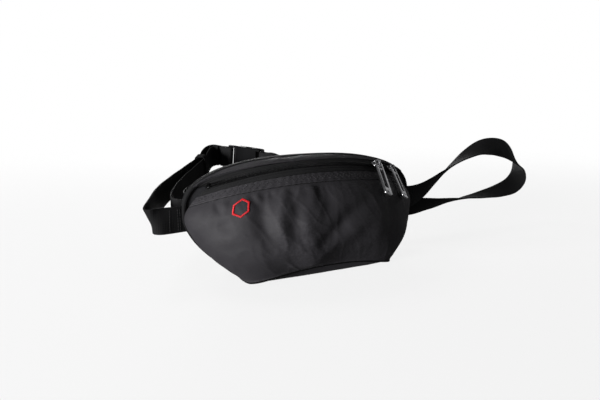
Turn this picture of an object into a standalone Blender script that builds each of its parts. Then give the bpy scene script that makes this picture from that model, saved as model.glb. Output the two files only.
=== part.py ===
"""Waist pack with a curved two-way zip, a padded back and a buckled webbing belt.

Metres, +Z up.  The pack stands on its bottom gusset, its front faces -Y and its width
runs along X.  The origin is the middle of the flat bottom face.  Every sub-part is one
object; a moving piece has its origin on its joint's axis.
"""
import math

import bmesh
import bpy
import numpy as np
from mathutils import Matrix, Vector

MM = 0.001

# ---------------------------------------------------------------- driving sizes
GAP = 0.3 * MM                    # clearance between pieces that touch

BACK_FACE_Y = 35.0 * MM           # outer face of the padded back
MESH_THICK = 1.5 * MM             # spacer mesh on the wearer's side
FOAM_THICK = 4.8 * MM
BACK_LINING_THICK = 0.9 * MM

TIP_HALF_WIDTH = 126.0 * MM       # widest place of the back, at the belt
ROUTE_HALF_WIDTH = 126.0 * MM     # the half width that the belt's routes are drawn for
TIP_HEIGHT = 62.0 * MM
ARCH_RISE = 49.0 * MM             # top of the back above the tips
ARCH_POWER = 2.5                  # how square the top arch is
BASE_HALF_WIDTH = 80.0 * MM
SEAM_CLEARANCE = 1.6 * MM         # room for the sewn edge between the walls and the back

GUSSET_RISE = 11.0 * MM           # the bottom curls up to the front seam by this much
SHELL_THICK = 1.5 * MM            # face fabric with its coating
GUSSET_THICK = 1.3 * MM
GUSSET_INSET = 2.1 * MM           # the front fabric laps over the gusset
LINING_THICK = 0.6 * MM
LINING_DEPTH = 2.4 * MM           # lining's place under the outer face

ZIP_TILT = math.radians(34.0)     # the zip lies on one arc, in a plane with this lean
ZIP_TOP_Y = -6.0 * MM
ZIP_TOP_Z = TIP_HEIGHT + ARCH_RISE - 4.7 * MM
ZIP_END_INSET = 18.7 * MM         # the arc's ends, in from the tips
ZIP_ROLL = math.radians(22.0)     # turn of the chain about its own length
CHAIN_SHARE = 0.93                # the coil stops this far along the arc
COIL_WIDTH = 2.5 * MM             # one half of the chain
COIL_THICK = 2.0 * MM
TAPE_WIDTH = 6.6 * MM
TAPE_THICK = 0.7 * MM
FACING_WIDTH = 11.0 * MM          # stitched strip below the zip
FACING_THICK = 1.3 * MM

FLAP_FROM_LEFT = 46.8 * MM        # the part of the top that lifts, along the arc from its ends
FLAP_FROM_RIGHT = 58.8 * MM
FLAP_CUT = 0.5 * MM               # half the gap at each end of the lifting part

SLIDER_A_FROM_END = 45.6 * MM     # both sliders, along the arc from its right end
SLIDER_B_FROM_END = 16.2 * MM
SLIDER_LENGTH = 10.5 * MM
SLIDER_WIDTH = 7.0 * MM
SLIDER_PLATE = 1.3 * MM
SLIDER_LIFT = 0.35 * MM           # clearance over the chain
BAIL_WIDTH = 2.8 * MM
BAIL_WIRE = 1.1 * MM
BAIL_CLEARANCE = 1.3 * MM         # room for the pull's crossbar to turn in the bail
PIN_HEIGHT = 5.3 * MM             # pull's crossbar over the chain's middle
PULL_LENGTH = 43.0 * MM
PULL_WIDTH = 11.0 * MM
PULL_THICK = 1.7 * MM
PULL_BAR = 1.9 * MM               # crossbar of the pull
PULL_RAIL = 2.7 * MM
PULL_PAD = 8.5 * MM               # solid end below the slot
PULL_TURN = math.radians(-13.0)     # how far each pull lies off square to the chain
PULL_A_TILT = math.radians(13.0)  # hang of each pull below the chain's plane
PULL_B_TILT = math.radians(13.0)

BELT_WIDTH = 25.0 * MM
BELT_THICK = 1.4 * MM

EMBLEM_RADIUS = 9.0 * MM
EMBLEM_STROKE = 1.9 * MM
EMBLEM_THICK = 0.7 * MM
EMBLEM_UP = 0.73                  # share of the way up the front wall
EMBLEM_ALONG = -0.587              # share of the way to the left tip

BUCKLE_MIDDLE = Vector((-22, BACK_FACE_Y / MM + 146, 91)) * MM
BUCKLE_AXIS = Vector((0.67, -0.735, -0.09)).normalized()   # from the tongue to the socket
BUCKLE_UP = Vector((0.03, -0.06, 1.0)).normalized()
SOCKET_LENGTH = 27.0 * MM
SOCKET_HEIGHT = BELT_WIDTH + 7.0 * MM
SOCKET_DEPTH = 10.5 * MM
SOCKET_WALL = 2.0 * MM
TONGUE_HEIGHT = BELT_WIDTH + 6.0 * MM
TONGUE_DEPTH = 6.0 * MM
SLOT_LENGTH = 5.2 * MM            # webbing slots in both halves
SLOT_HALF = BELT_WIDTH / 2 + 0.7 * MM
BAR_LENGTH = 3.4 * MM             # bars that the webbing goes round
BAR_HALF_DEPTH = 1.8 * MM
WRAP_SLACK = 0.95 * MM            # looseness of the webbing round a bar
PRONG_LENGTH = 24.0 * MM
PRONG_HEIGHT = 4.0 * MM
PRONG_DEPTH = 4.4 * MM
CATCH_REACH = 3.2 * MM            # catch of a prong, from the prong's middle line
RUNNING_GAP = 0.5 * MM

KEEPER_LENGTH = 9.0 * MM
KEEPER_WALL = 1.0 * MM
KEEPER_BELT_ROW = 9               # rows of the two routes that the keeper sits on
KEEPER_TAIL_ROW = 4

# Belt routes: where the middle of the webbing goes, and which way its width points.
# x is from the pack's middle, y from the back face, z from the ground.
LEFT_ROUTE = (
    ((-126.6, -4, 57), (-0.05, 0, 1)),
    ((-138, -5.5, 57), (-0.1, 0, 1)),
    ((-148, -7, 57.5), (-0.25, 0, 1)),
    ((-154.5, -5.5, 58), (-0.4, -0.1, 1)),
    ((-156, -0.5, 59), (-0.4, -0.15, 1)),
    ((-152, 11, 62), (-0.25, -0.1, 1)),
    ((-138, 49, 67), (-0.1, -0.05, 1)),
    ((-120, 83, 71), (0, -0.05, 1)),
    ((-97, 114, 77), (0.02, -0.05, 1)),
    ((-74, 142, 84), (0.03, -0.05, 1)),
    ((-64.5, 160, 89), (0.03, -0.05, 1)),
    ((-55, 171, 93), (0.03, -0.05, 1)),
    ((-46, 174.5, 94.5), (0.03, -0.05, 1)),
)
RIGHT_ROUTE = (
    ((126.6, -3.5, 56), (0, 0.05, -1)),
    ((140, -1, 56), (0.05, 0.15, -1)),
    ((158, 3, 60), (0.3, 0.5, -1)),
    ((184, 8, 72), (0.4, 0.9, -0.8)),
    ((212, 13, 86), (0.2, 1, -0.35)),
    ((241, 17, 98), (0, 1, 0.1)),
    ((268, 20, 104), (0, 0.8, 0.75)),
    ((292, 23, 103), (0.15, 0.45, 1)),
    ((312, 25, 97), (0.4, 0.6, 1)),
    ((329, 26, 85), (0.5, 0.9, 0.6)),
    ((337, 26, 70), (0.15, 1, 0.1)),
    ((333, 25, 56), (-0.25, 1, 0.35)),
    ((317, 23, 47.5), (-0.25, 1, 0.5)),
    ((289, 21, 43), (-0.1, 1, 0.25)),
    ((256, 19, 41), (0, 1, -0.05)),
    ((221, 18, 39.5), (0, 1, -0.4)),
    ((183, 17, 38), (0, 0.8, -0.8)),
    ((145, 19, 38), (0, 0.3, -1)),
    ((112, 27, 42), (0, 0.05, -1)),
    ((84, 43, 49), (0, 0, -1)),
    ((60, 65, 60), (0.05, 0, -1)),
    ((38, 87, 72), (0, 0.05, -1)),
)
TAIL_ROUTE = (
    ((-41.6, 166, 93.2), (0.03, -0.06, 1)),
    ((-46, 167.6, 93), (0, 0, 1)),
    ((-52, 164.5, 91.5), (0, 0, 1)),
    ((-58, 155, 88.5), (0, 0, 1)),
    ((-66, 140.5, 83), (0, 0, 1)),
    ((-85, 115, 76), (0, 0, 1)),
    ((-104, 85, 71), (0, 0, 1)),
    ((-120, 53, 67), (0, 0, 1)),
    ((-130, 27, 64), (0, 0, 1)),
    ((-131, 12, 62), (0, 0, 1)),
    ((-120, 6, 61), (0, 0, 1)),
    ((-92, 7, 60), (0, 0, 1)),
    ((-66, 10, 61), (0, 0, 1)),
    ((-52, 19, 63), (0, 0, 1)),
    ((-50, 37, 65), (0, 0, 1)),
    ((-60, 57, 66), (0, 0, 1)),
    ((-78, 68, 66.5), (0, 0, 1)),
    ((-96, 63, 66), (0, 0, 1)),
    ((-110, 45, 65), (0, 0, 1)),
    ((-117, 29, 64), (0, 0, 1)),
    ((-112, 18.5, 63), (0, 0, 1)),
    ((-98, 17, 62), (0, 0, 1)),
    ((-76, 20, 62), (0, 0, 1)),
)

# ---------------------------------------------------------------- derived sizes
MESH_FRONT_Y = BACK_FACE_Y - MESH_THICK
FOAM_BACK_Y = MESH_FRONT_Y - GAP
FOAM_FRONT_Y = FOAM_BACK_Y - FOAM_THICK
LINING_BACK_Y = FOAM_FRONT_Y - GAP
LINING_FRONT_Y = LINING_BACK_Y - BACK_LINING_THICK
SEAM_Y = LINING_FRONT_Y - SEAM_CLEARANCE     # front, top and gusset end here

ZIP_HALF_CHORD = TIP_HALF_WIDTH - ZIP_END_INSET
ZIP_RISE = (SEAM_Y - 0.45 * MM - ZIP_TOP_Y) / math.cos(ZIP_TILT)    # ends just before the seam
ZIP_RADIUS = (ZIP_HALF_CHORD ** 2 + ZIP_RISE ** 2) / (2 * ZIP_RISE)
ZIP_HALF_ANGLE = math.asin(ZIP_HALF_CHORD / ZIP_RADIUS)
FLAP_LEFT_ANGLE = FLAP_FROM_LEFT / ZIP_RADIUS - ZIP_HALF_ANGLE
FLAP_RIGHT_ANGLE = ZIP_HALF_ANGLE - FLAP_FROM_RIGHT / ZIP_RADIUS
SLIDER_A_ANGLE = ZIP_HALF_ANGLE - SLIDER_A_FROM_END / ZIP_RADIUS
SLIDER_B_ANGLE = ZIP_HALF_ANGLE - SLIDER_B_FROM_END / ZIP_RADIUS

COLUMNS = 37                             # mesh columns across the pack


# ---------------------------------------------------------------- small helpers
def clear_scene():
    """Remove every object that the file starts with."""
    for old in list(bpy.data.objects):
        bpy.data.objects.remove(old, do_unlink=True)


def finish(name, color, roughness, metallic=0.0):
    """A Principled material for one sub-part."""
    material = bpy.data.materials.new(name)
    material.use_nodes = True
    shader = material.node_tree.nodes["Principled BSDF"]
    shader.inputs["Base Color"].default_value = (*color, 1.0)
    shader.inputs["Roughness"].default_value = roughness
    shader.inputs["Metallic"].default_value = metallic
    return material


FABRIC = ((0.028, 0.027, 0.030), 0.62)
WEBBING = ((0.012, 0.012, 0.013), 0.8)
PLASTIC = ((0.015, 0.015, 0.016), 0.38)


def add_object(name, bm, look, smooth_angle=35.0):
    """Put a bmesh into the scene as one named, smooth-shaded object."""
    bmesh.ops.recalc_face_normals(bm, faces=bm.faces)
    mesh = bpy.data.meshes.new(name)
    bm.to_mesh(mesh)
    bm.free()
    mesh.shade_smooth()
    mesh.set_sharp_from_angle(angle=math.radians(smooth_angle))
    mesh.materials.append(finish(name + "_finish", *look))
    obj = bpy.data.objects.new(name, mesh)
    bpy.context.scene.collection.objects.link(obj)
    return obj


def spline(points, at):
    """Catmull-Rom curve through rows of numbers, read at parameters from 0 to 1."""
    points = np.asarray(points, dtype=float)
    before, after = 2 * points[:1] - points[1:2], 2 * points[-1:] - points[-2:-1]
    padded = np.vstack([before, points, after])
    place = np.clip(np.asarray(at, dtype=float), 0, 1) * (len(points) - 1)
    start = np.minimum(place.astype(int), len(points) - 2)
    t = (place - start).reshape((-1,) + (1,) * (points.ndim - 1))
    p0, p1, p2, p3 = (padded[start + k] for k in range(4))
    return 0.5 * (2 * p1 + (p2 - p0) * t + (2 * p0 - 5 * p1 + 4 * p2 - p3) * t ** 2
                  + (3 * p1 - p0 - 3 * p2 + p3) * t ** 3)


def unit(vectors):
    """Rows of vectors, each of length one."""
    return vectors / np.linalg.norm(vectors, axis=-1, keepdims=True)


def sheet(name, rows, thickness, look, flip=False):
    """A closed fabric sheet from a grid of outer-face points, thickened inwards."""
    rows = np.asarray(rows)
    bm = bmesh.new()
    verts = [[bm.verts.new(point) for point in row] for row in rows]
    for i in range(len(rows) - 1):
        for j in range(len(rows[0]) - 1):
            corners = [verts[i][j], verts[i][j + 1], verts[i + 1][j + 1], verts[i + 1][j]]
            bm.faces.new(corners[::-1] if flip else corners)
    mesh = bpy.data.meshes.new(name)
    bm.to_mesh(mesh)
    bm.free()
    mesh.shade_smooth()
    mesh.materials.append(finish(name + "_finish", *look))
    obj = bpy.data.objects.new(name, mesh)
    bpy.context.scene.collection.objects.link(obj)
    thicken = obj.modifiers.new("thickness", "SOLIDIFY")
    thicken.thickness = thickness
    thicken.offset = -1.0
    return obj


def set_origin(obj, point):
    """Put an object's origin at a point and leave its shape where it is."""
    obj.data.transform(Matrix.Translation(-Vector(point)))
    obj.location = point


def ring_loft(bm, rings, closed=False):
    """Skin a list of equal rings of points; the ends are capped unless it is closed."""
    loops = [[bm.verts.new(point) for point in ring] for ring in rings]
    count = len(loops[0])
    pairs = list(zip(loops, loops[1:]))
    if closed:
        pairs.append((loops[-1], loops[0]))
    for low, high in pairs:
        for k in range(count):
            bm.faces.new((low[k], low[(k + 1) % count], high[(k + 1) % count], high[k]))
    if not closed:
        bm.faces.new(loops[0][::-1])
        bm.faces.new(loops[-1])


def plate(bm, outline, low, high, place):
    """Extrude a flat outline between two levels; place maps (a, b, level) to a point."""
    ring_loft(bm, [[place(a, b, level) for a, b in outline] for level in (low, high)])


def rounded_rectangle(half_a, half_b, radius, steps=4):
    """Outline of a rectangle with round corners, anticlockwise."""
    points = []
    for quarter in range(4):
        sign_a = 1 if quarter in (0, 3) else -1
        sign_b = 1 if quarter in (0, 1) else -1
        for step in range(steps + 1):
            angle = math.pi / 2 * (quarter + step / steps)
            points.append((sign_a * (half_a - radius) + radius * math.cos(angle),
                           sign_b * (half_b - radius) + radius * math.sin(angle)))
    return points


# ---------------------------------------------------------------- the zip's arc
ZIP_UP = np.array((0.0, -math.cos(ZIP_TILT), math.sin(ZIP_TILT)))
ZIP_NORMAL = np.array((0.0, math.sin(ZIP_TILT), math.cos(ZIP_TILT)))
ZIP_TOP = np.array((0.0, ZIP_TOP_Y, ZIP_TOP_Z))
ZIP_CENTRE = ZIP_TOP - ZIP_RADIUS * ZIP_UP    # the sliders run round an axis through here
MOUTH_HINGE = (0.0, SEAM_Y, TIP_HEIGHT + ARCH_RISE + 1.0 * MM)


def zip_frame(angle):
    """Chain's middle, direction to the right, direction up the back, outward normal."""
    along = np.array((math.cos(angle), 0.0, 0.0)) - math.sin(angle) * ZIP_UP
    radial = np.array((math.sin(angle), 0.0, 0.0)) + math.cos(angle) * ZIP_UP
    outward = math.cos(ZIP_ROLL) * radial + math.sin(ZIP_ROLL) * ZIP_NORMAL
    across = math.cos(ZIP_ROLL) * ZIP_NORMAL - math.sin(ZIP_ROLL) * radial
    return ZIP_CENTRE + ZIP_RADIUS * radial, along, across, outward


def zip_place(angle):
    """Map (along, across, outward) distances at one place of the zip to the pack."""
    middle, along, across, outward = zip_frame(angle)
    return lambda a, b, c: Vector(middle + a * along + b * across + c * outward)


# ---------------------------------------------------------------- the front wall
# One rail per level: half width, end height, middle y, middle height, squareness in x and y.
RAILS = (
    (BASE_HALF_WIDTH, 0.0, -24 * MM, GUSSET_RISE, 0.33, 0.33),
    (TIP_HALF_WIDTH - 22 * MM, 20 * MM, -35 * MM, 33 * MM, 0.65, 0.70),
    (TIP_HALF_WIDTH - 7 * MM, TIP_HEIGHT - 23 * MM, -38 * MM, ZIP_TOP_Z - 49.3 * MM, 0.90, 1.00),
    (TIP_HALF_WIDTH - 0.5 * MM, TIP_HEIGHT - 1 * MM, -29 * MM, ZIP_TOP_Z - 23.3 * MM, 1.00, 1.30),
)
FINE = 481


def rail_points(half_width, end_height, middle_y, middle_height, square_x, square_y):
    """Points of one level of the wall, from the left end round the front to the right."""
    turn = np.linspace(-math.pi / 2, math.pi / 2, FINE)
    share = np.sign(turn) * np.abs(np.sin(turn)) ** square_x
    y = SEAM_Y - (SEAM_Y - middle_y) * np.abs(np.cos(turn)) ** square_y
    z = end_height + (middle_height - end_height) * (1 - np.abs(share) ** 2.2)
    return np.stack([half_width * share, y, z], axis=-1)


def by_length(points, shares):
    """Read a polyline at shares (-1 to 1) of its length."""
    steps = np.linalg.norm(np.diff(points, axis=0), axis=1)
    run = np.concatenate([[0.0], np.cumsum(steps)])
    at = (np.asarray(shares) + 1) / 2 * run[-1]
    return np.stack([np.interp(at, run, points[:, k]) for k in range(3)], axis=-1)


def wall(up, shares):
    """Points of the front wall: up from 0 (gusset seam) to 1 (zip), shares from -1 to 1."""
    rails = [by_length(rail_points(*rail), shares) for rail in RAILS]
    rails.append(np.array([zip_frame(ZIP_HALF_ANGLE * share)[0] for share in shares]))
    up = np.broadcast_to(np.asarray(up, dtype=float), (len(shares),))
    return np.array([spline([rail[k] for rail in rails], [up[k]])[0] for k in range(len(shares))])


def wall_up_at(distance, shares):
    """How far up the wall a line at this distance below the zip runs."""
    span = np.linalg.norm(wall(1.0, shares) - wall(0.75, shares), axis=1)
    return 1.0 - 0.25 * distance / span


def inward(rows):
    """Unit vectors that point into the pack from a grid of wall points."""
    rows = np.asarray(rows)
    across = np.gradient(rows, axis=1)
    upward = np.gradient(rows, axis=0)
    return unit(np.cross(upward, across))


def arch(x):
    """Height of the back's top edge at x."""
    share = np.clip(np.abs(x) / TIP_HALF_WIDTH, 0, 1)
    return TIP_HEIGHT + ARCH_RISE * (1 - share ** ARCH_POWER) ** (1 / ARCH_POWER)


def top_surface(distance, shares):
    """Points on the top panel at a distance behind the zip."""
    zip_line = np.array([zip_frame(ZIP_HALF_ANGLE * share)[0] for share in shares])
    back_x = zip_line[:, 0] * (TIP_HALF_WIDTH - 8 * MM) / (ZIP_RADIUS * math.sin(ZIP_HALF_ANGLE))
    back = np.stack([back_x, np.full(len(back_x), SEAM_Y), arch(back_x)], axis=-1)
    span = np.linalg.norm(back - zip_line, axis=1)
    share = np.minimum(distance / span, 1.0)
    crown = 2.0 * MM * 4 * share * (1 - share) * np.clip(span / (30 * MM), 0, 1)
    return zip_line + (back - zip_line) * share[:, None] + crown[:, None] * ZIP_NORMAL


# ---------------------------------------------------------------- soft body panels
def back_outline(inset):
    """Outline of the back: straight base, curved sides and the top arch."""
    rise = np.linspace(0.0, 0.72, 13)
    side = np.vstack([wall(up, [1.0]) for up in rise])
    top_x = TIP_HALF_WIDTH * (1 - np.linspace(0.015, 1.0, 15) ** 1.6)
    right = [(p[0], p[2]) for p in side] + [(x, float(arch(x))) for x in top_x]
    left = [(-x, z) for x, z in reversed(right[:-1])]
    outline = np.array(right + left)
    if inset == 0:
        return outline
    middle = np.array((0.0, 55 * MM))
    scale = 1 - inset / np.linalg.norm(outline - middle, axis=1)
    shrunk = middle + (outline - middle) * scale[:, None]
    shrunk[:, 1] = np.maximum(shrunk[:, 1], 0.0)
    return shrunk


def make_back():
    """Lining, foam and spacer mesh of the padded back, three plates with gaps."""
    layers = (
        ("back_lining", LINING_FRONT_Y, LINING_BACK_Y, 0.0, ((0.05, 0.05, 0.055), 0.8)),
        ("back_foam", FOAM_FRONT_Y, FOAM_BACK_Y, 1.0 * MM, ((0.3, 0.3, 0.3), 0.9)),
        ("back_mesh", MESH_FRONT_Y, BACK_FACE_Y, 0.0, ((0.02, 0.02, 0.021), 0.85)),
    )
    for name, front, back, inset, look in layers:
        bm = bmesh.new()
        plate(bm, back_outline(inset), front, back, lambda a, b, level: Vector((a, level, b)))
        add_object(name, bm, look)


def make_front():
    """The bulging front wall, from the gusset seam up to the facing."""
    shares = np.linspace(-1, 1, COLUMNS)
    top = wall_up_at(COIL_WIDTH + TAPE_WIDTH + FACING_WIDTH + 4 * GAP, shares)
    rows = [wall(top * level, shares) for level in np.linspace(0, 1, 13)]
    sheet("front_panel", rows, SHELL_THICK, FABRIC)


def make_facing():
    """The stitched strip that joins the front wall to the zip's front tape."""
    shares = np.linspace(-0.995, 0.995, COLUMNS)
    low = wall_up_at(COIL_WIDTH + TAPE_WIDTH + FACING_WIDTH + 2.5 * GAP, shares)
    high = wall_up_at(COIL_WIDTH + TAPE_WIDTH + 3 * GAP, shares)
    rows = [wall(low + (high - low) * level, shares) for level in np.linspace(0, 1, 4)]
    sheet("zip_facing", rows, FACING_THICK, FABRIC)


def make_gusset():
    """The bottom: flat to stand on, and curled up to the front seam."""
    shares = np.linspace(-0.985, 0.985, COLUMNS)
    seam = wall(0.0, shares)
    run = np.gradient(seam, axis=0)
    into = unit(np.stack([-run[:, 1], run[:, 0], 0 * run[:, 0]], axis=-1))
    start = seam + GUSSET_INSET * into
    start[:, 2] = np.maximum(start[:, 2] - 0.5 * MM, 0.0)
    half = BASE_HALF_WIDTH - GUSSET_INSET
    end = np.stack([shares * half, 0 * shares + SEAM_Y, 0 * shares], axis=-1)
    start[:, 1] = np.minimum(start[:, 1], SEAM_Y - 0.2 * MM)
    curl = 0.16
    rows = []
    for share in (0.0, 0.05, 0.1, curl, 0.45, 1.0):
        row = start + (end - start) * share
        row[:, 2] = start[:, 2] * max(0.0, 1 - share / curl) ** 1.6
        rows.append(row)
    sheet("bottom_gusset", rows, GUSSET_THICK, FABRIC, flip=True)


def make_lining():
    """The inner bag's front and bottom, held just inside the outer fabric."""
    shares = np.linspace(-0.93, 0.93, 31)
    rows = np.array([wall(up, shares) for up in np.linspace(0.09, 0.80, 9)])
    rows = rows + LINING_DEPTH * inward(rows)
    sheet("lining_pouch", rows, LINING_THICK, ((0.07, 0.07, 0.075), 0.85))


def zip_shares(low_angle, high_angle, count):
    """Shares of the zip's length between two angles."""
    return np.linspace(low_angle, high_angle, count) / ZIP_HALF_ANGLE


def make_top():
    """The top panel: a middle part that lifts when the zip is open, and two fixed ends."""
    cut = FLAP_CUT / ZIP_RADIUS
    near = COIL_WIDTH + TAPE_WIDTH + 3 * GAP
    pieces = (
        ("top_flap", FLAP_LEFT_ANGLE + cut, FLAP_RIGHT_ANGLE - cut, 21),
        ("top_end_left", -ZIP_HALF_ANGLE * 0.93, FLAP_LEFT_ANGLE - cut, 6),
        ("top_end_right", FLAP_RIGHT_ANGLE + cut, ZIP_HALF_ANGLE * 0.93, 13),
    )
    for name, low, high, count in pieces:
        shares = zip_shares(low, high, count)
        zip_line = top_surface(0.0, shares)
        far = np.linalg.norm(top_surface(1.0, shares) - zip_line, axis=1)
        rows = [top_surface(near + (far - near) * level, shares) for level in np.linspace(0, 1, 5)]
        panel = sheet(name, rows, SHELL_THICK, FABRIC)
        if name == "top_flap":
            set_origin(panel, MOUTH_HINGE)


def tape_rows(angles, side):
    """Grid of one tape: side -1 runs down the front, +1 back over the top."""
    shares = np.asarray(angles) / ZIP_HALF_ANGLE
    near = np.array([zip_place(angle)(0, side * (COIL_WIDTH + GAP), -0.3 * MM) for angle in angles])
    reach = COIL_WIDTH + TAPE_WIDTH
    if side < 0:
        far = wall(wall_up_at(reach, shares), shares)
        return [far + (near - far) * level for level in (0, 0.5, 1)]
    far = top_surface(reach, shares)
    return [near + (far - near) * level for level in (0, 0.5, 1)]


def make_tapes():
    """Woven tapes on each side of the coil; the rear one is parted at the flap's ends."""
    end = ZIP_HALF_ANGLE * CHAIN_SHARE
    cut = 0.25 * MM / ZIP_RADIUS
    look = ((0.018, 0.018, 0.019), 0.75)
    sheet("zip_tape_front", tape_rows(np.linspace(-end, end, 33), -1), TAPE_THICK, look)
    angles = np.linspace(FLAP_LEFT_ANGLE + cut, FLAP_RIGHT_ANGLE - cut, 21)
    set_origin(sheet("zip_tape_rear", tape_rows(angles, 1), TAPE_THICK, look), MOUTH_HINGE)
    limit = ZIP_HALF_ANGLE * 0.93
    angles = np.linspace(-limit, FLAP_LEFT_ANGLE - cut, 5)
    sheet("zip_tape_end_left", tape_rows(angles, 1), TAPE_THICK, look)
    angles = np.linspace(FLAP_RIGHT_ANGLE + cut, limit, 10)
    sheet("zip_tape_end_right", tape_rows(angles, 1), TAPE_THICK, look)


def coil_half(bm, low, high, side, count):
    """One half of the chain between two angles."""
    inner = side * 0.5 * GAP
    outer = side * COIL_WIDTH
    rings = []
    for angle in np.linspace(low, high, count):
        place = zip_place(angle)
        rings.append([place(0, inner, -COIL_THICK / 2), place(0, outer, -COIL_THICK / 2),
                      place(0, outer, COIL_THICK / 4), place(0, (inner + outer) / 2, COIL_THICK / 2),
                      place(0, inner, COIL_THICK / 2)])
    ring_loft(bm, rings)


def make_coils():
    """Both halves of the coil, and the stops at the two ends."""
    look = ((0.012, 0.012, 0.013), 0.45)
    end = ZIP_HALF_ANGLE * CHAIN_SHARE
    cut = 0.2 * MM / ZIP_RADIUS
    bm = bmesh.new()
    coil_half(bm, -end, end, -1, 41)
    add_object("zip_coil_front", bm, look)
    bm = bmesh.new()
    coil_half(bm, FLAP_LEFT_ANGLE + cut, FLAP_RIGHT_ANGLE - cut, 1, 25)
    set_origin(add_object("zip_coil_rear", bm, look), MOUTH_HINGE)
    bm = bmesh.new()
    coil_half(bm, -end, FLAP_LEFT_ANGLE - cut, 1, 5)
    add_object("zip_coil_end_left", bm, look)
    bm = bmesh.new()
    coil_half(bm, FLAP_RIGHT_ANGLE + cut, end, 1, 14)
    add_object("zip_coil_end_right", bm, look)
    for side, sign in (("left", -1), ("right", 1)):
        bm = bmesh.new()
        place = zip_place(sign * (end + 1.9 * MM / ZIP_RADIUS))
        plate(bm, rounded_rectangle(1.4 * MM, 2.6 * MM, 0.6 * MM), 0.3 * MM, 1.9 * MM, place)
        add_object("zip_stop_" + side, bm, ((0.6, 0.6, 0.62), 0.3, 1.0))


# ---------------------------------------------------------------- sliders and pulls
def make_slider(name, angle):
    """Slider body over the chain, with the arched bail that holds its pull."""
    place = zip_place(angle)
    low = COIL_THICK / 2 + SLIDER_LIFT
    high = low + SLIDER_PLATE
    bm = bmesh.new()
    plate(bm, rounded_rectangle(SLIDER_LENGTH / 2, SLIDER_WIDTH / 2, 1.6 * MM), low, high, place)
    arch_inner = PULL_BAR / 2 + BAIL_CLEARANCE
    rings = []
    for step in range(9):
        turn = math.pi * step / 8
        ring = []
        for half, reach in ((-1, 0), (1, 0), (1, BAIL_WIRE), (-1, BAIL_WIRE)):
            radius = arch_inner + reach
            rise = PIN_HEIGHT - 0.5 * MM + radius * math.sin(turn)
            ring.append(place(half * BAIL_WIDTH / 2, radius * math.cos(turn), rise))
        rings.append(ring)
    first, last = rings[0], rings[-1]
    drop = Vector(zip_frame(angle)[3]) * (PIN_HEIGHT - 0.5 * MM - high + 0.4 * MM)
    rings = [[point - drop for point in first]] + rings + [[point - drop for point in last]]
    ring_loft(bm, rings)
    body = add_object(name, bm, ((0.35, 0.35, 0.36), 0.28, 1.0))
    set_origin(body, ZIP_CENTRE)
    union_self(body)


def union_self(obj):
    """Merge the touching shells of one object into a single solid."""
    shells = obj.modifiers.new("union", "BOOLEAN")
    shells.operation = "UNION"
    shells.solver = "EXACT"
    shells.use_self = True
    shells.operand_type = "COLLECTION"
    shells.collection = bpy.data.collections.new(obj.name + "_nothing")


def make_pull(name, angle, tilt):
    """Pull tab: one long ring with a solid end, its crossbar under the slider's bail."""
    middle, along, across, outward = zip_frame(angle)
    pin = Vector(middle + PIN_HEIGHT * outward)
    down = Vector(-math.cos(tilt) * across - math.sin(tilt) * outward)
    facing = Vector(along).cross(down)
    sideways = math.cos(PULL_TURN) * Vector(along) - math.sin(PULL_TURN) * down
    down = math.cos(PULL_TURN) * down + math.sin(PULL_TURN) * Vector(along)
    turn = Matrix((sideways, down, facing)).transposed().to_4x4()
    turn.translation = pin
    half = PULL_LENGTH / 2
    outer = rounded_rectangle(PULL_WIDTH / 2, half, 3.2 * MM, steps=5)
    hole_half = (PULL_LENGTH - PULL_BAR - PULL_PAD) / 2
    inner = rounded_rectangle(PULL_WIDTH / 2 - PULL_RAIL, hole_half, 1.5 * MM, steps=5)
    outer = [(a, b + half - PULL_BAR / 2) for a, b in outer]
    inner = [(a, b + hole_half + PULL_BAR / 2) for a, b in inner]
    bm = bmesh.new()
    rings = [[Vector((a, b, level)) for a, b in line]
             for line, level in ((outer, -PULL_THICK / 2), (outer, PULL_THICK / 2),
                                 (inner, PULL_THICK / 2), (inner, -PULL_THICK / 2))]
    ring_loft(bm, rings, closed=True)
    pull = add_object(name, bm, ((0.3, 0.3, 0.31), 0.22, 1.0))
    pull.matrix_world = turn


# ---------------------------------------------------------------- belt
def placed_route(route, tip_side):
    """A route's points in the pack, its start moved with the pack's tip on that side."""
    points = np.array([row[0] for row in route]) * MM
    points[:, 1] += BACK_FACE_Y
    fade = np.linspace(1, 0, len(points)) ** 2
    points[:, 0] += tip_side * (TIP_HALF_WIDTH - ROUTE_HALF_WIDTH) * fade
    return [(tuple(point / MM), row[1]) for point, row in zip(points, route)]


def ribbon(name, route, width, thickness, look, per_span=5):
    """Flat webbing along a route of middle points and width directions, both in mm rows."""
    points = np.array([row[0] for row in route]) * MM
    leans = unit(np.array([row[1] for row in route], dtype=float))
    at = np.linspace(0, 1, (len(route) - 1) * per_span + 1)
    middle = spline(points, at)
    tangent = unit(np.gradient(middle, axis=0))
    lean = spline(leans, at)
    lean = unit(lean - np.sum(lean * tangent, axis=1, keepdims=True) * tangent)
    face = np.cross(tangent, lean)
    bm = bmesh.new()
    rings = []
    for centre, side, out in zip(middle, lean, face):
        ring = [centre + side * width / 2 * a + out * thickness / 2 * b
                for a, b in ((-1, -1), (1, -1), (1, 1), (-1, 1))]
        rings.append([Vector(point) for point in ring])
    ring_loft(bm, rings)
    return add_object(name, bm, look)


def buckle_place(a, b, c):
    """Map (along, up, outward) distances in the buckle's own frame to the pack."""
    face = BUCKLE_UP.cross(BUCKLE_AXIS).normalized()
    up = BUCKLE_AXIS.cross(face)
    return BUCKLE_MIDDLE + a * BUCKLE_AXIS + b * up + c * face


def buckle_matrix():
    """World matrix of the buckle's own frame."""
    origin = buckle_place(0, 0, 0)
    axes = [buckle_place(*row) - origin for row in ((1, 0, 0), (0, 1, 0), (0, 0, 1))]
    matrix = Matrix(axes).transposed().to_4x4()
    matrix.translation = origin
    return matrix


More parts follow.
